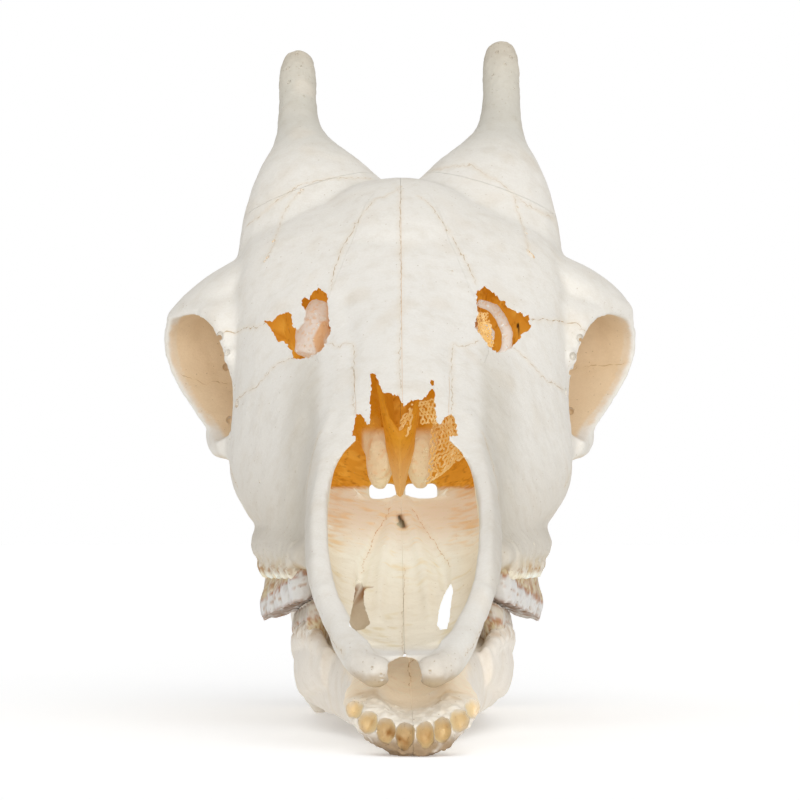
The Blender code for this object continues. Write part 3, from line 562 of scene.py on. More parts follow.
def orbit_tube(name, side, marks, around=48):
    """A tube along the orbit's axis. Each mark is how far out, the share of the rim's size and
    a small shift of the ring."""
    out, back, rise = orbit_directions()
    rim = closed_ring(ORBIT_RIM, around)
    middle = rim.mean(axis=0)
    rings = []
    for reach, share, shift in marks:
        flat = middle + share * (rim - middle)
        ring = (
            np.array(ORBIT_CENTRE) + reach * out + np.array(shift)
            + np.outer(flat[:, 0], back) + np.outer(flat[:, 1], rise)
        )
        rings.append(ring * np.array([side, 1, 1]))
    return skin(name, rings)


# What stands out of the loft, on the skull's left side, from the orbit inwards and back.
# A bar has a name, the marks of its route (out, back, up), its half-thicknesses sideways and
# upwards, and what differs from a plain bar. A ball has a name, its middle and its radii.
BROW_LIFT = {"right": 0.0, "left": 0.004}
OSSICONE_TOP = {"right": 0.378, "left": 0.384}
CHEEK_BARS = [
    # from under the orbit forwards to above the last teeth
    ("cheek", [(0.088, 0.425, 0.151), (0.082, 0.39, 0.135), (0.074, 0.35, 0.118), (0.064, 0.3, 0.106)],
     [0.009, 0.011, 0.011, 0.008], [0.01, 0.012, 0.012, 0.01], {}),
    # from the orbit back to the jaw joint
    ("arch", [(0.092, 0.415, 0.15), (0.102, 0.45, 0.153), (0.101, 0.485, 0.163),
              (0.091, 0.515, 0.172), (0.072, 0.535, 0.176), (0.054, 0.545, 0.184)],
     [0.01, 0.0065, 0.006, 0.0075, 0.01, 0.013], [0.011, 0.011, 0.009, 0.0085, 0.0095, 0.012], {}),
]
LOWER_BARS = [
    # the bone that holds the upper cheek teeth
    ("alveolus", [(0.045, 0.197, 0.088), (0.052, 0.24, 0.091), (0.0585, 0.29, 0.093),
                  (0.0625, 0.34, 0.095), (0.058, 0.382, 0.108)],
     [0.009, 0.013, 0.017, 0.0175, 0.012], [0.007, 0.01, 0.012, 0.013, 0.012], {}),
    # the rounded rim of the nose opening, down to the knob at the tip of the snout
    ("nose_rim", [(0.0128, 0.03, 0.0375), (0.0232, 0.05, 0.045), (0.0312, 0.08, 0.059),
                  (0.0372, 0.1, 0.0715), (0.04, 0.12, 0.084), (0.0405, 0.16, 0.107),
                  (0.037, 0.205, 0.133), (0.033, 0.235, 0.149)],
     [0.0068, 0.006, 0.0056, 0.0055, 0.0055, 0.0055, 0.006], None, {"steps": 32}),
    ("tip", (0.0128, 0.03, 0.0375), (0.0078, 0.011, 0.0072)),
    ("condyle", (0.026, 0.592, 0.158), (0.019, 0.02, 0.024)),
    ("paroccipital", [(0.052, 0.556, 0.18), (0.052, 0.566, 0.148), (0.048, 0.57, 0.122)],
     [0.01, 0.006, 0.004], [0.014, 0.011, 0.006], {"up": (0, 1, 0)}),
    ("pterygoid", [(0.026, 0.37, 0.126), (0.026, 0.42, 0.132), (0.024, 0.475, 0.15)],
     [0.0042, 0.0038, 0.004], [0.02, 0.019, 0.01], {}),
    ("bulla", (0.034, 0.54, 0.153), (0.014, 0.022, 0.014)),
]


def on_side(side, points):
    """Points of the left side, for either side."""
    return [(side * x, y, z) for x, y, z in points]


def from_table(rows, word):
    """The bars and balls of a table, on one side."""
    side = SIDES[word]
    return [
        bar(f"{row[0]}_{word}", on_side(side, row[1]), *row[2:4], **row[4]) if len(row) == 5
        else ball(f"{row[0]}_{word}", *on_side(side, row[1:2]), row[2])
        for row in rows
    ]


def head_form():
    """Everything of the head but its teeth, before the cavities are cut."""
    body = body_from_sections("head", CRANIUM_SECTIONS)
    pieces = []
    for word, side in SIDES.items():
        pieces.append(orbit_tube(f"orbit_{word}", side, [
            (-0.07, 1.0, (0, 0.008, 0.018)), (-0.03, 1.06, (0, 0.003, 0.008)),
            (-0.01, 1.03, (0, 0, 0.002)), (0.0, 1.0, (0, 0, 0)),
        ]))
        # The brow slopes from the forehead out to the top of the orbit, a little higher on the
        # skull's left side.
        lift = BROW_LIFT[word]
        pieces += from_table([
            ("brow", [(0.05, 0.445, 0.25), (0.085, 0.44, 0.24 + lift / 2),
                      (0.106, 0.434, 0.229 + lift), (0.122, 0.427, 0.216 + lift)],
             [0.045, 0.04, 0.033, 0.022], [0.018, 0.014, 0.011, 0.006], {}),
            *CHEEK_BARS,
            # The ossicone stands on a wide flare at the back of the forehead.
            ("ossicone", [(0.04, 0.452, 0.256), (0.046, 0.47, 0.279), (0.053, 0.494, 0.304),
                          (0.0578, 0.52, 0.331), (0.0598, 0.566, OSSICONE_TOP[word])],
             [0.04, 0.037, 0.033, 0.029, 0.024, 0.018, 0.0137, 0.0116, 0.011, 0.0112, 0.009],
             [0.052, 0.048, 0.0425, 0.0355, 0.027, 0.018, 0.0133, 0.0116, 0.0111, 0.0114, 0.009],
             {"steps": 44, "up": (1, 0, 0)}),
            *LOWER_BARS,
        ], word)
    # The median swelling of the forehead and the crest across the back of the head.
    pieces.append(bar(
        "median_swelling", [(0, 0.345, 0.228), (0, 0.385, 0.255), (0, 0.425, 0.272), (0, 0.47, 0.275)],
        [0.018, 0.036, 0.044, 0.036], [0.01, 0.019, 0.0235, 0.022],
    ))
    pieces.append(bar(
        "nuchal_crest",
        [(-0.06, 0.56, 0.215), (-0.04, 0.583, 0.241), (0, 0.59, 0.25),
         (0.04, 0.583, 0.241), (0.06, 0.56, 0.215)],
        [0.009, 0.011, 0.012, 0.011, 0.009],
    ))
    combine(body, pieces, "UNION")
    return soften(body, HEAD_VOXEL, round(14 * WEAR))


outer = head_form()
print("outer form:", len(outer.data.polygons), "faces")

# %% [markdown]
# ## Hollows
# The nose is a hollow with thin walls, the eye sockets are short tubes that narrow inwards, and
# two passages lead from the nose to the throat. They are cut as closed bodies. Behind the open
# end of the nasal bones and behind the two gaps in the face real bone is only a millimetre or
# two thick. There the cutter is a roomy body kept inside a shrunken copy of the outer form, so
# that an even shell is left.

# %% Cut the hollows
SHELL = 0.0017
ROOF_ROOM = [
    (0.214, 0.135, 0.196, 0.019, 0.019, 0.019),
    (0.24, 0.14, 0.215, 0.0235, 0.0235, 0.0235),
    (0.29, 0.15, 0.26, 0.033, 0.033, 0.033),
    (0.345, 0.165, 0.28, 0.04, 0.04, 0.04),
    (0.385, 0.185, 0.29, 0.038, 0.038, 0.038),
]


def head_hollows():
    """The nasal cavity, the eye sockets, the passages to the throat and the spinal opening."""
    cutters = [body_from_sections("nasal_cavity", CAVITY_SECTIONS)]
    for word, side in SIDES.items():
        cutters.append(orbit_tube(f"eye_socket_{word}", side, [
            (-0.072, 0.2, (0, 0.006, 0.012)), (-0.055, 0.58, (0, 0.004, 0.008)),
            (-0.022, 0.84, (0, 0.001, 0.002)), (0.004, 0.88, (0, 0, 0)), (0.02, 0.92, (0, 0, 0)),
        ]))
        # The passage from the nose to the throat, above the back of the palate.
        outer_edge = 0.0172 if side < 0 else 0.02
        middle = side * (0.0024 + outer_edge) / 2
        cutters.append(block(f"choana_{word}", (middle, 0.425, 0.122), (outer_edge - 0.0024, 0.18, 0.0092)))
        cutters.append(bar(
            f"throat_{word}",
            on_side(side, [(0.011, 0.395, 0.12), (0.0115, 0.43, 0.118), (0.0115, 0.5, 0.115)]),
            [0.007, 0.009, 0.01], [0.006, 0.01, 0.015],
        ))
    cutters.append(bar(
        "foramen_magnum", [(0, 0.63, 0.166), (0, 0.58, 0.172), (0, 0.52, 0.186)],
        [0.019, 0.017, 0.012], [0.017, 0.015, 0.01],
    ))
    return cutters


def thin_walls(form):
    """A cutter that leaves a thin shell of the outer form over the nose and beside it."""
    inner = soften(grown(form, -SHELL), 0.002, 0)
    room = [body_from_sections("roof_room", ROOF_ROOM)]
    for word, side in SIDES.items():
        room.append(ball(f"face_room_{word}", (side * 0.052, 0.352, 0.202), (0.026, 0.036, 0.027)))
    whole = room.pop(0)
    combine(whole, room, "UNION")
    return combine(inner, [whole], "INTERSECT")


def wedge(name, rows):
    """A four-sided body through rows of station, half-breadth, lowest and highest point."""
    return skin(name, [
        np.array([(-wide, y, low), (wide, y, low), (wide, y, high), (-wide, y, high)])
        for y, wide, low, high in rows
    ])


def snout_cutters():
    """Bodies that clear the tip of the snout down to a thin plate of palate."""
    return [
        block("snout_front", (0, -0.014, 0.045), (0.12, 0.1, 0.09)),
        wedge("snout_floor", [
            (0.0, 0.0105, 0.0385, 0.08), (0.036, 0.0135, 0.0442, 0.08), (0.062, 0.019, 0.0482, 0.085),
        ]),
        wedge("snout_under", [
            (0.0, 0.01, 0.01, 0.036), (0.036, 0.0115, 0.01, 0.0405), (0.095, 0.013, 0.01, 0.047),
        ]),
    ]


head = copied(outer, "head")
combine(head, head_hollows() + snout_cutters() + [thin_walls(outer)], "DIFFERENCE")

# %% [markdown]
# ## Small forms on the bone
# A few forms are too small for the plain solids: the blunt prongs at the tip of the snout, the
# low ridges and grooves along the floor of the nose, the lip at the back of the palate, the
# swellings over the roots of the cheek teeth, and the knobbly front edge of each orbit. They are
# added or cut as bars and balls before the bone is softened a second time.

# %% Prongs, ridges, grooves and root swellings
PALATE_LIP = [
    (0.0262, 0.342, 0.124), (0.0232, 0.3445, 0.1212), (0.019, 0.3465, 0.1176),
    (0.01, 0.348, 0.117), (0.003, 0.3475, 0.1186),
]


def floor_of_nose(station):
    """Height of the floor of the nose."""
    return float(fair_line([(row[0], row[1]) for row in CAVITY_SECTIONS])(station))


def along_floor(name, side, marks, radii, lift):
    """A bar along the floor of the nose through marks across and back."""
    path = fair_path([(side * x, y, floor_of_nose(y) + lift) for x, y in marks], 12)
    return bar(name, path, radii, steps=32, around=14)


small_forms = [wedge("vomer_foot", [
    (0.292, 0.003, 0.095, 0.1058), (0.318, 0.0048, 0.1, 0.1125),
    (0.336, 0.0056, 0.105, 0.1172), (0.35, 0.004, 0.11, 0.12),
])]
grooves = []
PLATE_EDGE = [(0.0035, 0.335), (0.006, 0.27), (0.01, 0.19), (0.0125, 0.105)]
POCKET_EDGE = [(0.0185, 0.33), (0.026, 0.27), (0.029, 0.21), (0.03, 0.16)]
FLOOR_GROOVE = [(0.0062, 0.328), (0.0112, 0.28), (0.0158, 0.235), (0.02, 0.188), (0.0205, 0.15)]
PRONG = [
    (0.0134, 0.029, 0.0372), (0.017, 0.033, 0.0388), (0.0234, 0.05, 0.045),
    (0.0312, 0.08, 0.059), (0.0372, 0.1, 0.0715),
]
# Knobs along the front edge of the orbit: how far round the rim, and size.
RIM_KNOBS = ((0.535, 0.005), (0.585, 0.0042), (0.64, 0.0052), (0.695, 0.004), (0.75, 0.0048))
for word, side in SIDES.items():
    small_forms += [
        along_floor(f"plate_edge_{word}", side, PLATE_EDGE, [0.0012, 0.0028, 0.0034, 0.002], 0.0),
        along_floor(f"pocket_edge_{word}", side, POCKET_EDGE, [0.001, 0.0024, 0.0026, 0.0012], 0.0004),
    ]
    grooves.append(along_floor(
        f"floor_groove_{word}", side, FLOOR_GROOVE, [0.0014, 0.0027, 0.0034, 0.0034, 0.002], 0.0012,
    ))
    small_forms += from_table([
        ("palate_lip", PALATE_LIP, [0.0008, 0.0013, 0.0014, 0.0012, 0.0009], None,
         {"steps": 24, "around": 12}),
        ("prong", PRONG, [0.007, 0.0071, 0.0066, 0.006, 0.0055], None, {"steps": 32, "around": 24}),
        ("prong_tip", (0.013, 0.03, 0.0371), (0.0077, 0.0088, 0.0074)),
    ], word)
    station = UPPER_ROW_START
    for name, length, breadth in CHEEK_TEETH:
        for share in (0.27, 0.73):
            y = station + length * share
            x = float(fair_line(UPPER_ROW)(y)) + breadth * 0.36
            small_forms += from_table([(
                f"root_{name}_{share}",
                [(x - 0.0005, y, 0.0765), (x + 0.0018, y, 0.083), (x + 0.0012, y, 0.095)],
                [0.003, 0.0036, 0.0032, 0.0014], None, {"steps": 10, "around": 12},
            )], word)
        station += length
    out_from, back_from, up_from = orbit_directions()
    for share, size in RIM_KNOBS:
        flat = closed_ring(ORBIT_RIM, 200)[int(share * 200)]
        spot = np.array(ORBIT_CENTRE) + flat[0] * back_from + flat[1] * up_from - 0.001 * out_from
        small_forms += from_table([(f"rim_knob_{share}", tuple(spot), (size * 0.7, size * 0.8, size))], word)
# A long swelling under the right half of the palate closes most of the slit behind it.
small_forms.append(bar(
    "palate_swelling",
    [(-0.0203, 0.16, 0.059), (-0.0205, 0.182, 0.06), (-0.0205, 0.215, 0.067), (-0.021, 0.25, 0.076)],
    [0.005, 0.0068, 0.0066, 0.005], [0.005, 0.0118, 0.01, 0.005],
))
combine(head, grooves, "DIFFERENCE")
combine(head, small_forms, "UNION")
soften(head, HEAD_VOXEL, round(4 * (0.0018 / HEAD_VOXEL) ** 2))
head = largest(head, "head")
for form in (head, outer):
    form.data.transform(HEAD_TURN)
print("hollowed head:", len(head.data.polygons), "faces")

# %% [markdown]
# ## The living surface
# Bone is never quite even. Three sizes of unevenness are pushed into the surface: broad swells,
# small dents and a fine grain. Where muscle, skin or horn was fixed the bone is rough, and there
# the dents are many times deeper: on the knobs of the ossicones, round the orbits, above the
# teeth, at the tip of the snout and on the chin. The unevenness is a lattice of random slopes,
# blended smoothly between its points, so it is the same on every run. The lattice stands askew,
# so that its rows don't show.

# %% Unevenness
def ramp(value, low, high):
    """0 below low, 1 above high and smooth between."""
    share = np.clip((value - low) / (high - low), 0, 1)
    return share * share * (3 - 2 * share)


ASKEW = np.array(Matrix.Rotation(0.6, 3, (1, 2, 3)))


def uneven(points, size, seed):
    """Smooth random values between about -1 and 1 whose swells are about that size."""
    spread = points @ ASKEW / size + 0.37 * seed
    cell = np.floor(spread).astype(np.int64)
    share = spread - cell
    fade = share ** 3 * (share * (share * 6 - 15) + 10)
    total = np.zeros(len(points))
    for corner in itertools.product((0, 1), repeat=3):
        at = cell + corner
        mixed = (at[:, 0] * 73856093) ^ (at[:, 1] * 19349663) ^ (at[:, 2] * 83492791) ^ (seed * 265443576)
        mixed = ((mixed ^ (mixed >> 13)) * 1274126177) & 0x7FFFFFFF
        mixed = ((mixed ^ (mixed >> 11)) * 2246822519) & 0x7FFFFFFF
        slopes = np.stack([(mixed >> shift) % 256 for shift in (3, 11, 19)], axis=1) / 127.5 - 1
        value = np.sum(slopes * (share - corner), axis=1)
        for axis in range(3):
            value *= fade[:, axis] if corner[axis] else 1 - fade[:, axis]
        total += value
    return np.clip(total * 1.7, -1, 1)


def points_of(mesh):
    """A mesh's points as an array."""
    flat = np.empty(len(mesh.vertices) * 3)
    mesh.vertices.foreach_get("co", flat)
    return flat.reshape(-1, 3)


def normals_of(mesh):
    """The outward direction at each point."""
    flat = np.empty(len(mesh.vertices) * 3, np.float32)
    mesh.vertex_normals.foreach_get("vector", flat)
    return flat.reshape(-1, 3).astype(float)


def roughness_of(points):
    """How rough the bone is, from 0 to 1, by where it lies on the skull."""
    x, y, z = np.abs(points[:, 0]), points[:, 1], points[:, 2]
    knob = ramp(z, 0.335, 0.368) * 0.9
    out_from, back_from, up_from = orbit_directions()
    mirrored = np.stack([x, y, z], 1) - ORBIT_CENTRE
    along = mirrored @ out_from
    flat = np.stack([mirrored @ back_from, mirrored @ up_from], 1)
    ring = closed_ring(ORBIT_RIM, 120)
    gap = np.full(len(points), 1.0)
    near = np.abs(along) < 0.02
    for spot in ring:
        gap[near] = np.minimum(gap[near], np.hypot(*(flat[near] - spot).T))
    rim = np.clip(1 - np.hypot(gap, along) / 0.0075, 0, 1) * 0.65
    alveolus = ramp(x, 0.03, 0.04) * ramp(y, 0.185, 0.205) * ramp(-z, -0.112, -0.092) * 0.75
    snout = ramp(-y, -0.046, -0.02) * ramp(z, 0.02, 0.03) * 0.8
    nape = ramp(y, 0.545, 0.59) * 0.7
    return np.clip(np.max([knob, rim, alveolus * ramp(z, 0.06, 0.07), snout, nape], axis=0), 0, 1)


def in_picture(points):
    """Where the camera sees points: pixels across and down."""
    away = points - np.array(EYE)
    ahead = away[:, 1] * math.cos(PITCH) + away[:, 2] * math.sin(PITCH)
    rise = away[:, 2] * math.cos(PITCH) - away[:, 1] * math.sin(PITCH)
    half = PICTURE / 2
    return np.column_stack([half + FOCAL_PIXELS * away[:, 0] / ahead, half - FOCAL_PIXELS * rise / ahead])


def nearness(seen, marks, width):
    """1 on a line of marks in the picture, falling smoothly to 0 at that many pixels from it."""
    gap = np.full(len(seen), 1e9)
    marks = np.array(marks, float)
    for start, end in zip(marks, marks[1:]):
        run = end - start
        share = np.clip(((seen - start) @ run) / (run @ run), 0, 1)
        gap = np.minimum(gap, np.hypot(*(seen - start - share[:, None] * run).T))
    return ramp(-gap, -width, 0.0)


def weather(mesh, rough, seed, deepest=0.00062, extra=0.0):
    """Pushes the unevenness into a mesh."""
    points, outward = points_of(mesh), normals_of(mesh)
    push = 0.0003 * uneven(points, 0.015, seed) + 0.00013 * uneven(points, 0.0055, seed + 1)
    push += 0.00006 * uneven(points, 0.0028, seed + 2)
    dents = 0.55 * uneven(points, 0.005, seed + 3) + 0.45 * uneven(points, 0.0027, seed + 4)
    push += rough * deepest * dents + extra
    points += outward * push[:, None]
    mesh.vertices.foreach_set("co", points.ravel())
    mesh.update()
    print("weathered", len(points), "points, pushed up to", round(float(np.abs(push).max()) * 1000, 2), "mm")


# %% Weather the head
SWELLS = (
    # height in mm, width in pixels, then a line of marks across and down
    (-2.4, 13, [(308, 420), (303, 450), (299, 480), (297, 510), (299, 535), (304, 556)]),
    (-2.2, 13, [(492, 420), (497, 450), (501, 480), (504, 510), (502, 535), (499, 556)]),
    (1.0, 9, [(330, 415), (318, 450), (309, 500), (308, 560)]),
    (1.0, 9, [(470, 415), (482, 450), (492, 500), (493, 560)]),
    (-0.9, 12, [(262, 250), (240, 268), (222, 283)]),
    (-0.9, 12, [(538, 250), (560, 268), (578, 283)]),
    (-0.8, 14, [(345, 300), (352, 345), (346, 390)]),
    (-0.8, 14, [(456, 300), (450, 345), (456, 390)]),
    (0.7, 7, [(268, 322), (246, 326), (227, 331)]),
    (0.7, 7, [(530, 319), (555, 320), (580, 326)]),
)


def swells(mesh):
    """How far the face is raised along the lines above, on the side that the camera sees."""
    points, outward = points_of(mesh), normals_of(mesh)
    seen = in_picture(points)
    facing = ramp(-outward[:, 1], 0.0, 0.5) * ramp(-points[:, 1], -0.4, -0.36)
    return facing * sum(height / 1000 * nearness(seen, marks, width) for height, width, marks in SWELLS)


weather(head.data, roughness_of(points_of(head.data)), 11, extra=swells(head.data))

# %% [markdown]
# ## Broken edges
# The gaps in the face and the front ends of the nasal bones are torn, not sawn. Each outline is
# a row of marks as the camera sees it. The marks are joined by short crooked steps and pushed
# along the lines of sight into a prism, and the prism is cut out of the thin shell. The prism
# ends inside the nose, so nothing behind it is touched.

# %% Torn outlines
FACE_GAP_RIGHT = [
    (264, 321), (273, 321), (279, 315), (289, 312), (292, 315), (292, 322), (294, 328), (298, 330),
    (302, 325), (305, 317), (306, 311), (302, 306), (302, 300), (305, 297), (309, 300), (313, 292),
    (319, 288), (324, 292), (327, 294), (328, 311), (329, 325), (331, 331), (324, 347), (316, 354),
    (308, 358), (301, 359), (293, 358), (292, 352), (287, 344), (283, 341), (278, 342), (274, 334),
    (270, 327),
]
FACE_GAP_LEFT = [
    (484, 286), (488, 289), (495, 294), (501, 301), (505, 301), (507, 307), (513, 310), (517, 313),
    (521, 312), (524, 317), (529, 315), (528, 321), (531, 327), (528, 331), (522, 334), (520, 339),
    (515, 344), (510, 349), (506, 351), (498, 353), (489, 347), (485, 341), (480, 334), (475, 328),
    (475, 322), (478, 315), (477, 307), (477, 301), (477, 291), (481, 289),
]
NASAL_ENDS = [
    (356, 415), (360, 414), (364, 418), (367, 425), (370, 424), (371, 410), (370, 400), (371, 382),
    (370, 374), (375, 374), (377, 379), (379, 382), (381, 388), (384, 393), (390, 393), (396, 396),
    (398, 394), (401, 401), (404, 407), (407, 404), (411, 400), (416, 400), (423, 399), (428, 394),
    (431, 389), (433, 389), (435, 393), (435, 403), (436, 413), (436, 420), (439, 425), (442, 422),
    (446, 417), (451, 414), (454, 417), (458, 436), (352, 436),
]
NASAL_HOLE = [(431, 380), (434, 381), (434, 385), (432, 386), (430, 383)]
SNOUT_NOTCH = [
    (386, 700), (387, 684), (388.5, 680), (387.5, 675), (388, 669), (388, 664), (391.5, 661), (398, 658),
    (402.5, 657), (404, 653.5), (405.5, 653), (406, 657), (412.5, 658), (417, 661), (419, 665), (420.5, 670),
    (422, 676), (421, 682), (421.5, 700),
]
PALATE_HOLE = [(398, 516), (400, 515), (401, 519), (404, 521), (405, 527), (400, 528), (396, 524), (399, 522)]
SLIT_RIGHT = [
    (359, 571), (361, 579), (364, 591), (364, 604), (368, 617), (370, 623), (364, 629), (356, 631),
    (349, 626), (351, 614), (354, 598), (356, 582),
]
SLIT_LEFT = [
    (451, 583), (453, 591), (451, 604), (450, 617), (447, 629), (440, 630), (437, 625), (439, 610),
    (443, 598), (448, 588),
]
CROOKED = 0.55


def crooked(marks, step=1.6, closed=True, bend=CROOKED, seed=5):
    """The marks joined by short crooked steps, in pixels."""
    chance = np.random.default_rng(seed)
    marks = np.array(marks, float)
    ends = np.roll(marks, -1, axis=0) if closed else marks[1:]
    line = []
    for start, end in zip(marks, ends):
        count = max(1, round(float(np.hypot(*(end - start))) / step))
        for share in np.arange(count) / count:
            line.append(start + (end - start) * share + (chance.normal(0, bend, 2) if share else 0))
    if not closed:
        line.append(marks[-1])
    return np.array(line)


def sight_prism(name, marks, near, far, bend=CROOKED):
    """A prism along the lines of sight between two distances behind the snout."""
    lines = [sight(*mark) for mark in crooked(marks, bend=bend)]
    rings = [np.array([EYE + line * ((y - EYE.y) / line.y) for line in lines]) for y in (near, far)]
    return skin(name, rings)


bone_seen = BVHTree.FromObject(head, bpy.context.evaluated_depsgraph_get())


def on_bone(across, down):
    """Where the camera's line of sight through a pixel meets the bone."""
    return bone_seen.ray_cast(EYE, sight(across, down))[0]


torn = [
    sight_prism("face_gap_right", FACE_GAP_RIGHT, 0.27, 0.388),
    sight_prism("face_gap_left", FACE_GAP_LEFT, 0.27, 0.388),
    sight_prism("nasal_ends", NASAL_ENDS, 0.15, 0.278),
    sight_prism("nasal_hole", NASAL_HOLE, 0.2, 0.28, 0.2),
    sight_prism("snout_notch", SNOUT_NOTCH, -0.01, 0.07, 0.35),
    sight_prism("palate_hole", PALATE_HOLE, 0.27, 0.309, 0.2),
    sight_prism("slit_right", SLIT_RIGHT, 0.05, 0.173, 0.3),
    sight_prism("slit_left", SLIT_LEFT, 0.05, 0.23, 0.3),
]
print([f"{cutter.name} {len(cutter.data.polygons)}" for cutter in torn])

# %% [markdown]
# ## Pits
# Nerves and vessels pass the bone in small holes. The larger ones stand where the photograph
# shows them. The many small ones are scattered by Geometry Nodes: points are spread over the
# surface with at least a given distance between them, more of them where the bone is rough, and
# a small ball at each is cut out of the bone.

# %% Vessel holes
HOLES = [
    # across, down, radius in mm
    (302, 190, 1.0), (299, 193, 0.8), (274, 241, 1.1), (268, 257, 1.2), (265, 261, 0.9), (517, 207, 0.8),
    (526, 233, 1.0), (531, 255, 2.3), (528, 251, 1.2), (452, 271, 0.7), (423, 286, 0.5), (401, 187, 0.8),
    (400, 193, 0.6), (330, 526, 0.8), (450, 560, 0.7), (519, 327, 1.3), (297, 54, 1.0), (288, 68, 1.2),
    (301, 66, 0.8), (289, 82, 1.3), (511, 57, 1.2), (505, 64, 1.0), (497, 52, 1.2), (493, 75, 0.9),
    (283, 108, 0.7), (304, 96, 0.7), (514, 88, 0.8), (372, 668, 0.7), (381, 675, 0.6), (430, 672, 0.7),
]
# Bites out of the lower front edge of each orbit: across, down, radius in mm.
RIM_NOTCHES = [
    (220, 336, 2.2), (227, 352, 1.8), (226, 367, 2.0), (234, 388, 1.8), (237, 404, 2.0), (230, 420, 2.2),
    (580, 338, 2.0), (573, 356, 2.0), (571, 372, 1.8), (566, 392, 2.0), (570, 411, 2.2),
]
holes = []
for kind, table, depth, height in (("hole", HOLES, 1.1, 1.3), ("notch", RIM_NOTCHES, 2.4, 1.2)):
    for across, down, radius in table:
        spot = on_bone(across, down)
        if spot is not None and (kind == "hole" or abs(spot.x) > 0.07):
            size = radius / 1000
            holes.append(ball(f"{kind}_{across}_{down}", tuple(spot), (size, size * depth, size * height)))
combine(head, torn + holes, "DIFFERENCE")
print(len(holes), "vessel holes; head", len(head.data.polygons), "faces")

# %% Scattered pits
PIT_SPACING = 0.0042
PIT_SIZES = (0.0003, 0.0009)


def empty_tree(name, source, numbers, seed, result):
    """A node tree without nodes, and its sockets: a shape, numbers, a seed and a material."""
    tree = bpy.data.node_groups.new(name, "GeometryNodeTree")
    face = tree.interface
    face.new_socket(source, in_out="INPUT", socket_type="NodeSocketGeometry")
    for label, value in numbers.items():
        face.new_socket(label, in_out="INPUT", socket_type="NodeSocketFloat").default_value = value
    face.new_socket("Seed", in_out="INPUT", socket_type="NodeSocketInt").default_value = seed
    face.new_socket("Material", in_out="INPUT", socket_type="NodeSocketMaterial")
    face.new_socket(result, in_out="OUTPUT", socket_type="NodeSocketGeometry")
    return tree


def pit_tree():
    """Small balls over a surface, more of them where its point attribute rough is high."""
    numbers = {"Spacing": PIT_SPACING, "Smallest": PIT_SIZES[0], "Largest": PIT_SIZES[1]}
    tree = empty_tree("scattered pits", "Surface", numbers, 3, "Balls")
    given = node(tree, "NodeGroupInput").outputs
    rough = node(tree, "GeometryNodeInputNamedAttribute", {"Name": "rough"}, data_type="FLOAT")
    points = node(tree, "GeometryNodeDistributePointsOnFaces", {
        "Mesh": given["Surface"], "Distance Min": given["Spacing"], "Density Max": 60000.0,
        "Density Factor": rough, "Seed": given["Seed"],
    }, distribute_method="POISSON")
    # Inputs 2 and 3 are the least and the most of a plain number.
    size = node(tree, "FunctionNodeRandomValue", {
        2: given["Smallest"], 3: given["Largest"], "Seed": given["Seed"],
    }, data_type="FLOAT")
    one = node(tree, "GeometryNodeMeshIcoSphere", {"Radius": 1.0, "Subdivisions": 2})
    many = node(tree, "GeometryNodeInstanceOnPoints", {"Points": points, "Instance": one, "Scale": size})
    real = node(tree, "GeometryNodeRealizeInstances", {"Geometry": many})
    done = node(tree, "GeometryNodeSetMaterial", {"Geometry": real, "Material": given["Material"]})
    node(tree, "NodeGroupOutput", {"Balls": done})
    return tree


def from_nodes(thing, tree, name, **values):
    """The plain mesh that a node tree makes from an object. values are its inputs by label."""
    source = copied(thing, name)
    step = source.modifiers.new(name, "NODES")
    step.node_group = tree
    sockets = {item.name: item.identifier for item in tree.interface.items_tree if item.in_out == "INPUT"}
    for label, value in values.items():
        step[sockets[label]] = value
    return baked(source)


def set_value(mesh, name, values, kind="FLOAT"):
    """Stores one value for each point of a mesh."""
    if name in mesh.attributes:
        mesh.attributes.remove(mesh.attributes[name])
    layer = mesh.attributes.new(name, kind, "POINT")
    field = "color" if kind == "FLOAT_COLOR" else "value"
    layer.data.foreach_set(field, np.asarray(values, np.float32).ravel())


PITS = pit_tree()


def pitted(thing, amount, spacing, seed):
    """Cuts scattered pits into a bone."""
    set_value(thing.data, "rough", amount)
    balls = from_nodes(thing, PITS, "pits", Spacing=spacing, Seed=seed)
    count = len(balls.data.vertices) // 42
    combine(thing, [balls], "DIFFERENCE")
    print(thing.name, "has", count, "pits")


rough = roughness_of(points_of(head.data))
pitted(head, np.clip(rough ** 1.5 * 0.2 + 0.0006, 0, 1), PIT_SPACING, 3)

# %% [markdown]
# ## Along the sutures
# A young skull comes apart along its sutures, so each bone is its own piece, cut where the
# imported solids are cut. The cut is a tenth of a millimetre wide, as fine as a closed suture.

# %% Separate the bones
def nasal_prism(name, side, inset):
    """The plan outline of one nasal bone as a tall prism that ends inside the nasal cavity."""
    edge = fair_line(NASAL_EDGE)
    stations = np.linspace(NASAL_EDGE[0][0], NASAL_EDGE[-1][0] - inset, 24)
    outline = [(inset, y) for y in (stations[0], stations[-1])]
    outline += [(float(edge(y)) - inset, y) for y in stations[::-1]]
    lower = [(side * x, y, 0.13 + 0.45 * (y - 0.22)) for x, y in outline]
    upper = [(side * x, y, 0.4) for x, y in outline]
    return skin(name, [np.array(lower), np.array(upper)])


def ossicone_blades():
    """A thin tilted blade under each ossicone."""
    blades = []
    for word, side in SIDES.items():
        tilt = Vector((0.37 * side, 0.12, 1)).normalized()
        across = (Vector((side, 0, 0)) - tilt * tilt.x * side).normalized()
        along = tilt.cross(across)
        blade = block(f"ossicone_blade_{word}", (0, 0, 0), (1, 1, 1))
        frame_of_blade = Matrix((across * 0.155, along * 0.26, tilt * SUTURE)).transposed().to_4x4()
        frame_of_blade.translation = Vector((0.025 * side, 0.46, 0.299)) + across * 0.055
        blade.data.transform(frame_of_blade)
        if frame_of_blade.determinant() < 0:
            blade.data.flip_normals()
        blades.append(blade)
    return blades


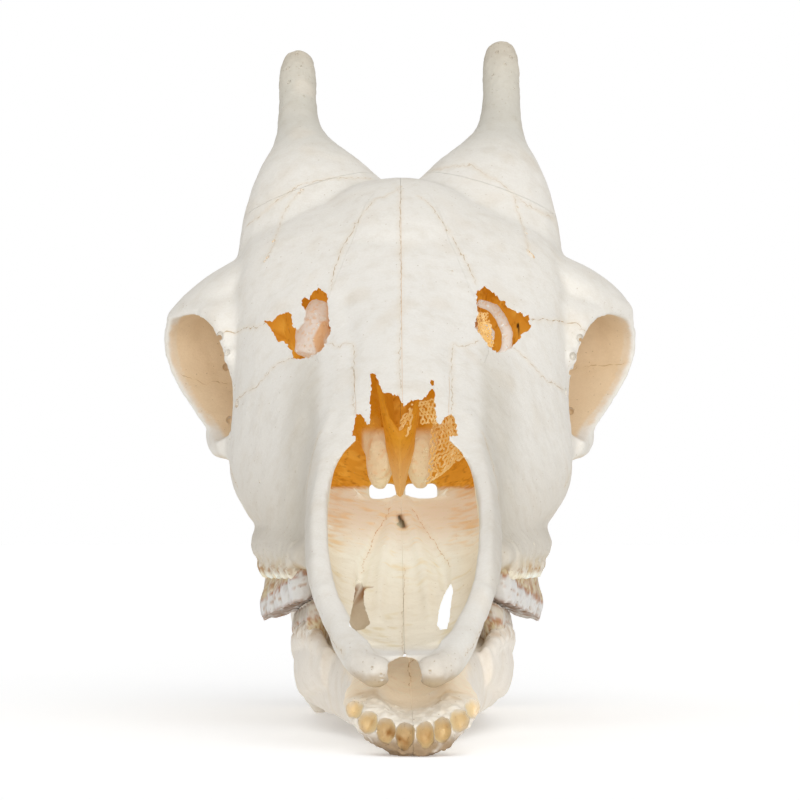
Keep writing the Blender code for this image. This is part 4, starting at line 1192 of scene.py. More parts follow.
def cross_blades():
    """Two thin upright blades: across the face, and behind the orbits."""
    face_blade = block("face_blade", (0, 0, 0), (0.4, SUTURE, 0.4))
    face_blade.data.transform(Matrix.Translation((0, 0.3675, 0.18)) @ Matrix.Rotation(0.205, 4, "X"))
    return [face_blade, block("coronal_blade", (0, CORONAL_STATION, 0.18), (0.4, SUTURE, 0.4))]


def cut_with(thing, cutters, operation="DIFFERENCE"):
    """Cuts with bodies that are given as the head lies before its slight turn."""
    for cutter in cutters:
        cutter.data.transform(HEAD_TURN)
        combine(thing, [cutter], operation)
    return thing


bones = {}
for word, side in SIDES.items():
    bone = copied(head, "nasal_bone_" + word)
    cut_with(bone, [nasal_prism("inside", side, SUTURE / 2)], "INTERSECT")
    bones["nasal_bone_" + word] = largest(bone, "nasal_bone_" + word)
cut_with(head, [nasal_prism("outside_" + word, side, -SUTURE / 2) for word, side in SIDES.items()])
cut_with(head, ossicone_blades())
bones.update(shared_out(head, {
    "cranium": lambda m: m.z < 0.28,
    "ossicone_right": lambda m: m.z > 0.28 and m.x < 0,
    "ossicone_left": lambda m: m.z > 0.28 and m.x > 0,
}))
bones.update(shared_out(cut_with(bones.pop("cranium"), cross_blades()), {
    "braincase": lambda m: m.y > CORONAL_STATION,
    "frontals": lambda m: 0.38 < m.y < CORONAL_STATION,
    "upper_jaws": lambda m: m.y < 0.38,
}))
for kind in ("upper_jaw", "frontal"):
    pair = cut_with(bones.pop(kind + "s"), [block("middle_blade", (0, 0.25, 0.2), (SUTURE, 0.9, 0.6))])
    bones.update(shared_out(pair, {
        kind + "_right": lambda m: m.x < 0,
        kind + "_left": lambda m: m.x > 0,
    }))
for name, bone in bones.items():
    print(name, len(bone.data.polygons), "faces")

# %% [markdown]
# ## The lower jaw
# The two halves of the lower jaw meet at the chin. Each is a long bar that grows taller towards
# the back, with an upright plate, a thin coronoid process and a joint head. The front holds
# eight empty sockets, because a giraffe's lower front teeth fall out of a cleaned skull. Their
# edges are thin and broken and the underside of the chin is rough.

# %% Shape the lower jaw
JAW_VOXEL = 0.0011
JAW_WEAR = (0.0018 / JAW_VOXEL) ** 2


def ramus(name, side):
    """The upright plate at the back of the lower jaw, level by level."""
    lines = fair_lines(RAMUS_LEVELS)
    turn = np.linspace(0, 2 * math.pi, 48, endpoint=False)
    c, s = np.cos(turn), np.sin(turn)
    reach = (np.abs(c) ** 3 + np.abs(s) ** 3) ** (-1 / 3)
    rings = []
    for height in np.linspace(RAMUS_LEVELS[0][0], RAMUS_LEVELS[-1][0], 24):
        across, front, back, thick = [float(line(height)) for line in lines]
        rings.append(np.stack([
            side * (across + thick / 2 * reach * s),
            (front + back) / 2 + (back - front) / 2 * reach * c,
            np.full(len(turn), height),
        ], axis=1))
    return skin(name, rings)


JAW_BARS = [
    ("coronoid", [(0.064, 0.472, 0.105), (0.068, 0.474, 0.145), (0.0705, 0.498, 0.197)],
     [0.02, 0.0135, 0.0095, 0.0045], [0.0048, 0.0044, 0.0036, 0.0028], {"up": (1, 0, 0), "steps": 20}),
    ("jaw_neck", [(0.064, 0.512, 0.095), (0.068, 0.516, 0.13), (0.072, 0.52, 0.154)],
     [0.02, 0.012, 0.0075], [0.0055, 0.006, 0.0085], {"up": (1, 0, 0), "steps": 16}),
    ("jaw_condyle", [(0.056, 0.519, 0.152), (0.072, 0.521, 0.153), (0.088, 0.523, 0.1505)],
     [0.0068, 0.008, 0.0065], [0.0062, 0.0066, 0.0058], {"steps": 12}),
    # The outer wall of the tooth sockets reaches almost to the biting surface.
    ("socket_wall", [(0.04, 0.188, 0.04), (0.0462, 0.212, 0.048), (0.0502, 0.25, 0.0462),
                     (0.052, 0.3, 0.0425), (0.0528, 0.35, 0.0395), (0.053, 0.4, 0.041)],
     [0.004, 0.0056, 0.006, 0.006, 0.006, 0.005], [0.005, 0.008, 0.009, 0.009, 0.0095, 0.01], {}),
]
# The flank is full and smooth from the tooth sockets down.
FLANK = (
    "flank", [(0.0385, 0.184, 0.034), (0.044, 0.212, 0.035), (0.0478, 0.25, 0.033), (0.0498, 0.3, 0.03)],
    [0.004, 0.0066, 0.0072, 0.007], [0.01, 0.015, 0.0165, 0.0165], {},
)
CHIN_LUMPS = [
    # across, back, up and size
    (-0.015, 0.0125, 0.0075, 0.0024), (-0.011, 0.0095, 0.0055, 0.0027), (-0.0066, 0.0062, 0.004, 0.003),
    (-0.0018, 0.0046, 0.0046, 0.0026), (0.003, 0.0052, 0.003, 0.003), (0.0085, 0.0064, 0.0026, 0.0032),
    (0.013, 0.009, 0.0042, 0.0028), (0.0168, 0.0125, 0.0062, 0.0026),
]


def lower_jaw_form():
    """Both halves of the lower jaw in one, turned into place."""
    body = body_from_sections("lower_jaw", SYMPHYSIS_SECTIONS, steps=32, around=40)
    pieces = []
    for word, side in SIDES.items():
        route = on_side(side, JAW_ROUTE)
        pieces.append(bar(f"jaw_body_{word}", route, JAW_BREADTHS, JAW_HEIGHTS, steps=48))
        pieces.append(ramus(f"ramus_{word}", side))
        pieces += from_table(JAW_BARS, word)
    for across, back, rise, size in CHIN_LUMPS:
        pieces.append(ball(f"chin_lump_{across}", (across, back, rise), (size, size * 1.2, size * 0.8)))
    combine(body, pieces, "UNION")
    soften(body, JAW_VOXEL, round(8 * JAW_WEAR))
    cutters = [bar(
        "oral_scoop", [(0, -0.01, 0.03), (0, 0.04, 0.046), (0, 0.09, 0.06), (0, 0.135, 0.071)],
        [0.016, 0.024, 0.019, 0.014], [0.019, 0.025, 0.024, 0.022],
    )]
    combine(body, cutters, "DIFFERENCE")
    soften(body, JAW_VOXEL, round(2.0 * JAW_WEAR))
    swing = Matrix.Translation((JAW_SHIFT, 0, 0)) @ turned(JAW_SWING, JAW_PIVOT)
    body.data.transform(swing)
    return body, swing


jaw, JAW_TURN = lower_jaw_form()
flanks = [flank for word in SIDES for flank in from_table([FLANK], word)]
for flank in flanks:
    flank.data.transform(JAW_TURN)
combine(jaw, flanks, "UNION")
soften(jaw, JAW_VOXEL, 6)
print("lower jaw:", len(jaw.data.polygons), "faces")


def roughness_of_jaw(points):
    """How rough the lower jaw is, from 0 to 1."""
    y, z = points[:, 1], points[:, 2]
    chin = ramp(-y, -0.06, -0.034) * ramp(-z, -0.015, -0.006)
    sockets = ramp(-y, -0.048, -0.03) * ramp(z, 0.002, 0.008) * 0.62
    gum = ramp(y, 0.185, 0.205) * ramp(z, 0.04, 0.047) * ramp(-y, -0.4, -0.37) * 0.6
    ends = ramp(z, 0.15, 0.165) * 0.6
    return np.clip(np.max([chin, sockets, gum, ends], axis=0), 0, 1)


SOCKET_MOUTHS = [
    # across and down in the picture, width and height there, depth in metres
    (353.5, 706, 20, 24, 0.009), (367, 721, 21.5, 26, 0.011), (385.5, 729, 20.5, 29, 0.012),
    (405, 734.5, 20, 31, 0.012), (425.5, 733, 19, 29, 0.012), (443, 728, 19.5, 28, 0.012),
    (461, 719, 22, 27, 0.011), (474.5, 705, 19, 26, 0.009),
]


def socket_cutter(seen, across, down, wide, tall, deep):
    """A cup whose ragged mouth the camera sees as an oval."""
    spot = seen.ray_cast(EYE, sight(across, down))[0]
    turn = np.linspace(0, 2 * math.pi, 30, endpoint=False)
    ragged = 1 + 0.04 * np.sin(3 * turn + across) + 0.025 * np.sin(6 * turn + down) + 0.02 * np.sin(11 * turn)
    rings = []
    depths = (
        (-0.016, 1.16, 0), (-0.003, 1.06, 0), (0.001, 0.99, 0),
        (deep / 2, 0.84, 1), (deep, 0.52, 3), (deep + 0.002, 0.2, 4),
    )
    for reach, share, drop in depths:
        lines = [
            sight(across + wide / 2 * share * c, down + drop + tall / 2 * share * s)
            for c, s in zip(ragged * np.cos(turn), ragged * np.sin(turn))
        ]
        rings.append(np.array([EYE + line * ((spot.y + reach - EYE.y) / line.y) for line in lines]))
    return skin("socket", rings)


weather(jaw.data, roughness_of_jaw(points_of(jaw.data)), 41, deepest=0.0017)
jaw_outer = BVHTree.FromObject(jaw, bpy.context.evaluated_depsgraph_get())
combine(jaw, [socket_cutter(jaw_outer, *mouth) for mouth in SOCKET_MOUTHS], "DIFFERENCE")
chin_points = points_of(jaw.data)
at_sockets = ramp(-chin_points[:, 1], -0.04, -0.028) * ramp(-chin_points[:, 2], -0.026, -0.02)
weather(jaw.data, at_sockets, 43, deepest=0.0011)
pitted(jaw, np.clip(roughness_of_jaw(points_of(jaw.data)) ** 1.5 * 0.35 + 0.0006, 0, 1), 0.0038, 8)
blade = block("chin_blade", (0, 0.1, 0.05), (SUTURE, 0.5, 0.2))
blade.data.transform(JAW_TURN)
under_floor = block("under_floor", (0, 0.3, -0.05), (0.4, 1.0, 0.1))
combine(jaw, [blade, under_floor], "DIFFERENCE")
bones.update(shared_out(jaw, {
    "mandible_right": lambda m: m.x < 0,
    "mandible_left": lambda m: m.x > 0,
}))

# %% [markdown]
# ## Cheek teeth
# A giraffe's cheek tooth is a block of enamel folded into ribs: two outer lobes with a groove
# between them, and a worn crown with sharp crescent ridges round a hollow of softer dentine.
# One loft makes them all. Its rings swell and shrink from root to crown, their outline carries
# the lobes and ribs, and the last rings dip into the crown for the worn hollow.

# %% Teeth
def bite(x, y):
    """Height of the surface where the upper and lower teeth meet."""
    row = fair_line(UPPER_ROW)(y)
    return BITE_HEIGHT - BITE_DROP_BACK * (y - UPPER_ROW[0][0]) - BITE_SLOPE * (abs(x) - row)


TOOTH_AROUND = 56
TOOTH_LEVELS = 22
TOOTH_GAP = 0.0012


def lobed(turn, lobes):
    """How far a tooth's outline reaches at a turn, for a block with rounded corners and lobes."""
    c, s = np.cos(turn), np.sin(turn)
    block_reach = (np.abs(c) ** 3.0 + np.abs(s) ** 3.0) ** (-1 / 3.0)
    outer_side = ramp(np.abs(s), 0.2, 0.7)
    groove = np.abs(np.cos(lobes * math.pi * (c * block_reach + 1) / 2))
    front_rib = 0.13 * np.exp(-(((c * block_reach + 0.8) / 0.2) ** 2))
    swell = outer_side * (front_rib + 0.06 * (1 - groove) ** 4 - 0.19 * groove ** 3)
    return block_reach * (1 + swell), groove * outer_side


def fine_tooth(name, centre, length, breadth, heights, yaw, room, place, lobes):
    """A cheek tooth with ribs, a narrow root and a worn, dished crown."""
    chance = np.random.default_rng(int(abs(centre[1]) * 10000) + (centre[0] > 0))
    root, neck, crown = heights
    turn = np.linspace(0, 2 * math.pi, TOOTH_AROUND, endpoint=False)
    reach, groove = lobed(turn, lobes)
    upward = 1 if root < crown else -1
    rings = []
    where = (root - neck) / (root - crown)
    width = fair_line([
        (0.0, 0.6), (where - 0.2, 0.8), (where - 0.05, 0.86), (where + 0.05, 0.97),
        (where + 0.15, 1.03), (0.92, 0.98), (1.0, 0.91),
    ])
    swell = chance.normal(0, 0.012, 3)
    for share in np.linspace(0, 1, TOOTH_LEVELS):
        waves = swell[0] * math.sin(9 * share) + swell[1] * math.sin(17 * share + 1)
        rings.append((share, float(width(share)) * (1 + waves), 0.0))
    rings += [
        (1.0, 0.86, 0.0003), (1.0, 0.78, -0.0006), (1.0, 0.52, -0.0016),
        (1.0, 0.34, -0.0009), (1.0, 0.16, -0.0017),
    ]
    rows = []
    for share, size, lift in rings:
        along = size * reach * np.cos(turn) * length / 2
        across = size * reach * np.sin(turn) * breadth / 2
        across = across + 0.0004 * np.sin(3 * turn + 7 * share) * (share < 1)
        x = centre[0] + across * math.cos(yaw) + along * math.sin(yaw)
        y = centre[1] - across * math.sin(yaw) + along * math.cos(yaw)
        top = []
        for px, py in zip(x, y):
            spot = place @ Vector((px, py, 0))
            top.append(bite(spot.x, spot.y) + room)
        top = np.array(top) + upward * (lift - 0.0003 - 0.0009 * groove ** 2)
        z = root + (top - root) * share if share < 1 else top
        rows.append(np.stack([x, y, np.broadcast_to(z, x.shape)], axis=1))
    return skin(name, rows)


def fine_row(side, marks, start, heights, room, place, shrink, name):
    """Six cheek teeth of one jaw as one object."""
    line = fair_line(marks)
    station = start
    teeth = []
    for label, length, breadth in CHEEK_TEETH:
        middle = station + length / 2
        yaw = side * math.atan((line(station + length) - line(station)) / length)
        centre = (side * float(line(middle)), middle)
        lobes = 2 if label.startswith("m") else 1
        drop = BITE_DROP_BACK * (middle - start)
        levels = [level - drop * share for level, share in zip(heights, (0.3, 1.0, 1.0))]
        teeth.append(fine_tooth(
            label, centre, length - TOOTH_GAP, breadth * shrink, levels, yaw, room, place, lobes
        ))
        station += length
    for tooth in teeth[1:]:
        with bpy.context.temp_override(active_object=teeth[0], selected_editable_objects=[teeth[0], tooth]):
            bpy.ops.object.join()
    teeth[0].name = name
    return teeth[0]


rows_of_teeth = {}
for word, side in SIDES.items():
    upper = fine_row(
        side, UPPER_ROW, UPPER_ROW_START, (0.093, 0.0785, 0.0652),
        BITE_ROOM, HEAD_TURN, 1.0, f"upper_teeth_{word}",
    )
    upper.data.transform(HEAD_TURN)
    rows_of_teeth[f"upper_teeth_{word}"] = (upper, f"upper_jaw_{word}")
    lower = fine_row(
        side, LOWER_ROW, LOWER_ROW_START, (0.036, 0.0535, 0.064),
        -BITE_ROOM, JAW_TURN, 0.8, f"lower_teeth_{word}",
    )
    lower.data.transform(JAW_TURN)
    rows_of_teeth[f"lower_teeth_{word}"] = (lower, f"mandible_{word}")
print({name: len(row[0].data.polygons) for name, row in rows_of_teeth.items()})

# %% [markdown]
# ## The bones inside the nose
# The vomer is a thin trough that stands on the palate. Beside it and behind the gaps in the face
# lie the scroll bones, thin and swollen like dry bread crust, pale with small holes. What is left
# of one scroll hangs from the wall of the nose as a lace of fine struts.
# The lace repeats a rule, so Geometry Nodes make it: the corners of an uneven sheet are shaken,
# the sheet's dual net is taken, and each line of that net becomes a thin round strut.

# %% Vomer and scroll bones
def vomer(name, stations):
    """A thin trough: station, keel, brim and half-breadth of the brim."""
    lines = fair_lines(stations)
    wall = 0.0024
    rings = []
    for station in np.linspace(stations[0][0], stations[-1][0], 14):
        keel, brim, breadth = [float(line(station)) for line in lines]
        height = brim - keel
        outside = [(0.0, keel), (breadth * 0.62, keel + 0.4 * height), (breadth, brim)]
        inside = [
            (breadth - wall, brim), (breadth * 0.62 - wall, keel + 0.46 * height),
            (0.0, keel + wall + 0.12 * height),
        ]
        half = outside + inside
        ring = half + [(-x, z) for x, z in half[-2:0:-1]]
        rings.append(np.array([(x, station, z) for x, z in ring]))
    return skin(name, rings)


def scroll_bodies():
    """The vomer and the swollen scroll bones, before their holes."""
    found = {"vomer": vomer("vomer", VOMER_STATIONS)}
    for word, side in SIDES.items():
        scroll = bar(
            f"ethmoid_scroll_{word}",
            on_side(side, [
                (0.0135, 0.352, 0.136), (0.0175, 0.372, 0.158), (0.026, 0.392, 0.188), (0.04, 0.392, 0.206),
            ]),
            [0.0025, 0.0075, 0.009, 0.006], [0.003, 0.011, 0.011, 0.008], steps=40, around=40,
        )
        ends = on_side(side, [(0.039, 0.392, 0.204), (0.047, 0.38, 0.207)])
        bridge = bar(f"bridge_{word}", ends, [0.006, 0.006])
        if side < 0:
            lobe = bar(
                "lobe_right", [(-0.051, 0.37, 0.195), (-0.0475, 0.373, 0.209), (-0.0425, 0.379, 0.223)],
                [0.006, 0.0092, 0.006], [0.006, 0.0085, 0.006], steps=30, around=40,
            )
        else:
            crescent = [
                (0.042, 0.376, 0.224), (0.05, 0.374, 0.2205), (0.0553, 0.37, 0.2129), (0.0575, 0.366, 0.2043),
                (0.056, 0.364, 0.196), (0.05, 0.368, 0.193), (0.045, 0.38, 0.202),
            ]
            radii = [0.0022, 0.0029, 0.0032, 0.0031, 0.0028, 0.0026, 0.005]
            lobe = bar("lobe_left", crescent, radii, steps=60, around=20)
        swollen = ball(f"lobe_low_{word}", (side * 0.0108, 0.357, 0.1395), (0.0074, 0.01, 0.0168))
        whorl = [
            (side * (0.0115 + 0.0042 * math.cos(turn)), 0.3478 + 0.001 * abs(math.sin(turn)),
             0.139 + 0.01 * math.sin(turn))
            for turn in np.linspace(0.4, 5.6, 9)
        ]
        ridge = bar(
            f"whorl_{word}", whorl, [0.0009, 0.0016, 0.0016, 0.001], steps=50, around=12, up=(0, 1, 0)
        )
        combine(scroll, [bridge, lobe, swollen, ridge], "UNION")
        found[f"ethmoid_scroll_{word}"] = soften(scroll, 0.0009, 10)
    return found


nose_parts = scroll_bodies()
soften(nose_parts["vomer"], 0.0008, 3)
for count, (name, part) in enumerate(nose_parts.items()):
    weather(part.data, np.full(len(part.data.vertices), 0.8 if name != "vomer" else 0.25), 61 + 7 * count)
    pitted(part, np.full(len(part.data.vertices), 0.9 if name != "vomer" else 0.02), 0.0028, 5 + count)
    if name != "vomer":
        nose_parts[name] = largest(part, name)

# %% Lace of struts
def lace_tree():
    """Thin round struts along the dual net of a shaken sheet."""
    numbers = {"Shake": 0.0008, "Strut": 0.00038, "Torn share": 0.16}
    tree = empty_tree("lace of struts", "Sheet", numbers, 2, "Lace")
    given = node(tree, "NodeGroupInput").outputs
    jitter = node(
        tree, "FunctionNodeRandomValue", {0: (-1, -1, -1), 1: (1, 1, 1), "Seed": given["Seed"]},
        data_type="FLOAT_VECTOR",
    )
    by = node(tree, "VectorMath", {0: jitter, "Scale": given["Shake"]}, operation="SCALE")
    shaken = node(tree, "GeometryNodeSetPosition", {"Geometry": given["Sheet"], "Offset": by})
    net = node(tree, "GeometryNodeDualMesh", {"Mesh": shaken})
    torn_here = node(
        tree, "FunctionNodeRandomValue", {"Probability": given["Torn share"], "Seed": given["Seed"]},
        data_type="BOOLEAN",
    )
    kept = node(
        tree, "GeometryNodeDeleteGeometry", {"Geometry": net, "Selection": torn_here},
        domain="EDGE", mode="EDGE_FACE",
    )
    lines = node(tree, "GeometryNodeMeshToCurve", {"Mesh": kept})
    ring = node(tree, "GeometryNodeCurvePrimitiveCircle", {"Resolution": 6, "Radius": given["Strut"]})
    tubes = node(tree, "GeometryNodeCurveToMesh", {"Curve": lines, "Profile Curve": ring, "Fill Caps": True})
    real = node(tree, "GeometryNodeRealizeInstances", {"Geometry": tubes})
    done = node(tree, "GeometryNodeSetMaterial", {"Geometry": real, "Material": given["Material"]})
    node(tree, "NodeGroupOutput", {"Lace": done})
    return tree


def lace_sheet(name, corners, across, down, bulge):
    """A bowed four-cornered sheet, across by down cells of two triangles each."""
    top_left, top_right, low_right, low_left = [Vector(corner) for corner in corners]
    facing = (top_right - top_left).cross(low_left - top_left).normalized()
    points, faces = [], []
    for row in range(down + 1):
        v = row / down
        for column in range(across + 1):
            u = (column + 0.5 * (row % 2)) / across
            spot = top_left.lerp(top_right, u).lerp(low_left.lerp(low_right, u), v)
            points.append(spot + facing * bulge * math.sin(math.pi * min(u, 1)) * math.sin(math.pi * v))
    for row in range(down):
        for column in range(across):
            a = row * (across + 1) + column
            b, c, d = a + 1, a + across + 2, a + across + 1
            faces += [(a, b, c), (a, c, d)] if row % 2 else [(a, b, d), (b, c, d)]
    mesh = bpy.data.meshes.new(name)
    mesh.from_pydata(points, [], faces)
    return linked(name, mesh)


LACE = lace_tree()
LACE_SHEETS = (
    # corners from the top left as seen from the front, cells across and down, bulge
    ("lace_gap_left", [
        (0.04, 0.362, 0.219), (0.047, 0.36, 0.217), (0.05, 0.356, 0.1985), (0.0425, 0.357, 0.199),
    ], 6, 13, -0.0012),
    ("lace_wall", [
        (0.0165, 0.352, 0.158), (0.0285, 0.318, 0.164), (0.035, 0.305, 0.14), (0.013, 0.345, 0.1235),
    ], 11, 13, 0.003),
    ("lace_top", [
        (0.0085, 0.3, 0.168), (0.019, 0.296, 0.17), (0.0205, 0.3, 0.156), (0.0105, 0.306, 0.156),
    ], 6, 7, 0.0015),
    ("lace_middle", [
        (0.0, 0.32, 0.16), (0.0065, 0.314, 0.168), (0.005, 0.318, 0.15), (-0.002, 0.322, 0.149),
    ], 4, 7, 0.001),
)
lace_parts = []
for count, (name, corners, across, down, bulge) in enumerate(LACE_SHEETS):
    sheet = lace_sheet(name + "_sheet", corners, across, down, bulge)
    lace_parts.append(from_nodes(sheet, LACE, name, Seed=4 + count, Strut=0.00056, Shake=0.0009))
    bpy.data.objects.remove(sheet)
print("lace:", [len(part.data.polygons) for part in lace_parts])

# %% [markdown]
# ## Sutures and cracks
# A suture is the seam where two bones meet: a fine crooked line, stained a little darker than
# the bone. The marks follow what the photograph shows, and the seams of the sides, back and top
# follow a giraffe's anatomy. Each line is walked in small steps, and every step is dropped onto
# the bone. Each point of the bone then learns how far it is from the nearest line, and on which
# side, with a sign. The sign lets the shader draw the line far finer than the mesh, because the
# value passes through zero exactly on the line.

# %% Where the seams run
SEEN_SEAMS = [
    # strength, then marks across and down
    (0.5, [(401, 190), (400, 230), (401, 290), (400, 350), (400, 399)]),
    (0.75, [(375, 199), (363, 213), (354, 228), (347, 240), (341, 250), (336, 265), (333, 276), (331, 290)]),
    (0.75, [(430, 205), (444, 225), (456, 243), (464, 258), (470, 270), (476, 284)]),
    (0.55, [(329, 344), (337, 347), (344, 343), (352, 344), (354, 350), (354, 380), (354, 414)]),
    (0.55, [(478, 341), (466, 346), (454, 344), (452, 350), (452, 380), (452, 412)]),
    (0.95, [(268, 322), (258, 327), (246, 328), (236, 333), (227, 331), (219, 336)]),
    (0.95, [(530, 319), (545, 319), (555, 320), (565, 323), (577, 323), (585, 331)]),
    (0.65, [(295, 358), (287, 360), (278, 363), (265, 378), (255, 388), (246, 392), (236, 400), (234, 409)]),
    (0.65, [(514, 348), (520, 352), (533, 365), (545, 379), (564, 390)]),
    (0.6, [(247, 226), (262, 213), (277, 201), (287, 194), (300, 185), (316, 181), (335, 178), (352, 177),
           (371, 178)]),
    (0.45, [(433, 170), (450, 167), (472, 165), (488, 177), (501, 183), (513, 194), (526, 204), (542, 213),
            (553, 218)]),
    (0.35, [(302, 190), (290, 202), (281, 221), (276, 237), (271, 250), (265, 261)]),
    (0.3, [(513, 194), (521, 221), (525, 234), (529, 253)]),
    (0.8, [(177, 374), (191, 378), (203, 384), (214, 381), (228, 384)]),
    (0.8, [(574, 370), (590, 365), (606, 366), (629, 362)]),
    (0.5, [(405, 566), (403, 607), (402, 636), (403, 655)]),
    (0.3, [(400, 186), (394, 192), (386, 196), (378, 198)]),
    (0.25, [(418, 196), (425, 200), (430, 205)]),
    (0.7, [(390, 508), (382, 523), (374, 536), (370, 549), (364, 562), (361, 573)]),
    (0.7, [(412, 508), (420, 522), (427, 532), (436, 544), (444, 556), (450, 567)]),
]
SIDE_SEAMS = [
    # strength, then marks behind the snout and up, dropped onto both sides
    (0.6, [(0.04, 0.044), (0.09, 0.06), (0.15, 0.088), (0.2, 0.118), (0.232, 0.15)]),
    (0.75, [(0.452, 0.166), (0.462, 0.16), (0.466, 0.152), (0.478, 0.149), (0.486, 0.142)]),
    (0.7, [(0.484, 0.268), (0.492, 0.245), (0.486, 0.222), (0.496, 0.204)]),
    (0.65, [(0.496, 0.204), (0.52, 0.216), (0.548, 0.214), (0.57, 0.205)]),
    (0.55, [(0.33, 0.124), (0.352, 0.134), (0.372, 0.146), (0.39, 0.16)]),
]
BACK_SEAMS = [
    # strength, then marks across and up, dropped onto the back of the head
    (0.6, [(-0.052, 0.226), (-0.03, 0.232), (0.0, 0.236), (0.03, 0.232), (0.052, 0.226)]),
    (0.55, [(-0.024, 0.196), (-0.036, 0.206), (-0.048, 0.2)]),
    (0.55, [(0.024, 0.196), (0.036, 0.206), (0.048, 0.2)]),
]


SEAM_STEP = 0.0004


def walked(spots):
    """Points on the bone along a seam, as rows of place, side direction and run."""
    rows = []
    for (a, normal), (b, other) in zip(spots, spots[1:]):
        step = b - a
        if not 1e-5 < step.length < 0.012:
            continue
        run = step.normalized()
        side = run.cross(normal).normalized()
        count = max(1, round(step.length / SEAM_STEP))
        for share in np.arange(count) / count:
            rows.append((a + step * float(share), side, run))
    return rows


def seam_rows(tree):
    """All the seams' steps on one bone surface."""
    rows = []

    def drop(marks, strength, shoot, step, bend, seed):
        spots = []
        for mark in crooked(marks, step=step, closed=False, bend=bend, seed=seed):
            start, direction = shoot(mark)
            spot, normal = tree.ray_cast(start, direction)[:2]
            if spot is not None:
                spots.append((spot, normal))
        rows.extend((*row, strength) for row in walked(spots))

    for count, (strength, marks) in enumerate(SEEN_SEAMS):
        drop(marks, strength, lambda mark: (EYE, sight(*mark)), 2.2, 0.75, count)
    for count, (strength, marks) in enumerate(SIDE_SEAMS):
        for side in (-1, 1):
            def from_side(mark):
                return Vector((side * 0.4, *mark)), Vector((-side, 0, 0))
            drop(marks, strength, from_side, 0.0016, 0.0006, 40 + count)
    for count, (strength, marks) in enumerate(BACK_SEAMS):
        def from_behind(mark):
            return Vector((mark[0], 0.8, mark[1])), Vector((0, -1, 0))
        drop(marks, strength, from_behind, 0.0016, 0.0006, 60 + count)
    return rows


def index_of(rows):
    """The steps in a tree that finds the nearest."""
    tree = KDTree(len(rows))
    for count, row in enumerate(rows):
        tree.insert(row[0], count)
    tree.balance()
    return tree


def seam_values(points, rows, tree):
    """Signed distance to the nearest seam, plain distance, both in mm, and the seam's strength."""
    signed, plain, strength = (np.full(len(points), 9.0) for _ in range(3))
    places = [Vector(p) for p in points]
    for count, place in enumerate(places):
        spot, index, distance = tree.find(place)
        if distance < 0.004:
            away = place - spot
            beside = away.dot(rows[index][1])
            past = max(0.0, abs(away.dot(rows[index][2])) - 0.0004)
            signed[count] = math.copysign(math.hypot(beside, past * 4), beside) * 1000
            plain[count] = distance * 1000
            strength[count] = rows[index][3]
    return signed, plain, strength


head_rows = seam_rows(bone_seen)
head_seams = index_of(head_rows)
jaw_seen = BVHTree.FromPolygons(
    [v.co for side in ("left", "right") for v in bones[f"mandible_{side}"].data.vertices],
    [
        [index + shift for index in face.vertices]
        for side, shift in (("left", 0), ("right", len(bones["mandible_left"].data.vertices)))
        for face in bones[f"mandible_{side}"].data.polygons
    ],
)
chin_marks = [(415, 659), (409, 664), (408, 671), (411, 678), (409, 686)]
chin_spots = [jaw_seen.ray_cast(EYE, sight(*mark))[:2] for mark in crooked(chin_marks, 1.5, False, 0.6, 3)]
jaw_rows = [(*row, 1.0) for row in walked([spot for spot in chin_spots if spot[0] is not None])]
jaw_seams = index_of(jaw_rows)
print(len(head_rows), "seam steps on the head,", len(jaw_rows), "on the chin")

# %% [markdown]
# ## Colour over the skull
# Bleached bone is nearly white where it is dense and smooth, and warmer where it is thin or rough:
# cream in the floor of the nose, tan in the orbits, amber on the thin walls deep in the nose, grey
# brown in the rough pits of the chin. Part of this is painted light and shade: the amber and a
# glow stand for lamp light shining through the thin walls, emission brightens other hollows, the
# upper front of the face is painted lighter, and undersides, low cheeks, the hollows beside the
# nose rim and the depths of the orbits, of holes and of the lower tooth sockets are painted darker.
# Each zone is a smooth mask of where a point lies, and one colour is laid over another by that
# mask. The result is stored on the points, and the material adds what is finer than the mesh.

# %% Zones of colour
# Spots in the picture where the deep parts of the lower tooth sockets are laid darkest brown.
BROWN_SOCKET_SPOTS = [(387, 734), (389, 731), (402, 741), (405, 744)]


def coated(count, ground, coats):
    """That many colours: the ground, and over it each coat of a shade by its mask."""
    colour = np.tile(np.array(linear(ground)[:3]), (count, 1))
    for shade, mask in coats:
        mask = np.clip(mask, 0, 1)[:, None]
        colour = colour * (1 - mask) + np.array(linear(shade)[:3]) * mask
    return np.clip(colour, 0, 1)


outer_seen = BVHTree.FromObject(outer, bpy.context.evaluated_depsgraph_get())


def turned_inwards(points, outward):
    """1 where a surface faces the hollow side of the head, 0 on its outside."""
    facing = np.empty(len(points))
    depth = np.empty(len(points))
    for count, point in enumerate(points):
        _, normal, _, depth[count] = outer_seen.find_nearest(Vector(point))
        facing[count] = normal.dot(Vector(outward[count]))
    return np.maximum(ramp(-facing, -0.35, 0.15), ramp(depth, 0.004, 0.007))


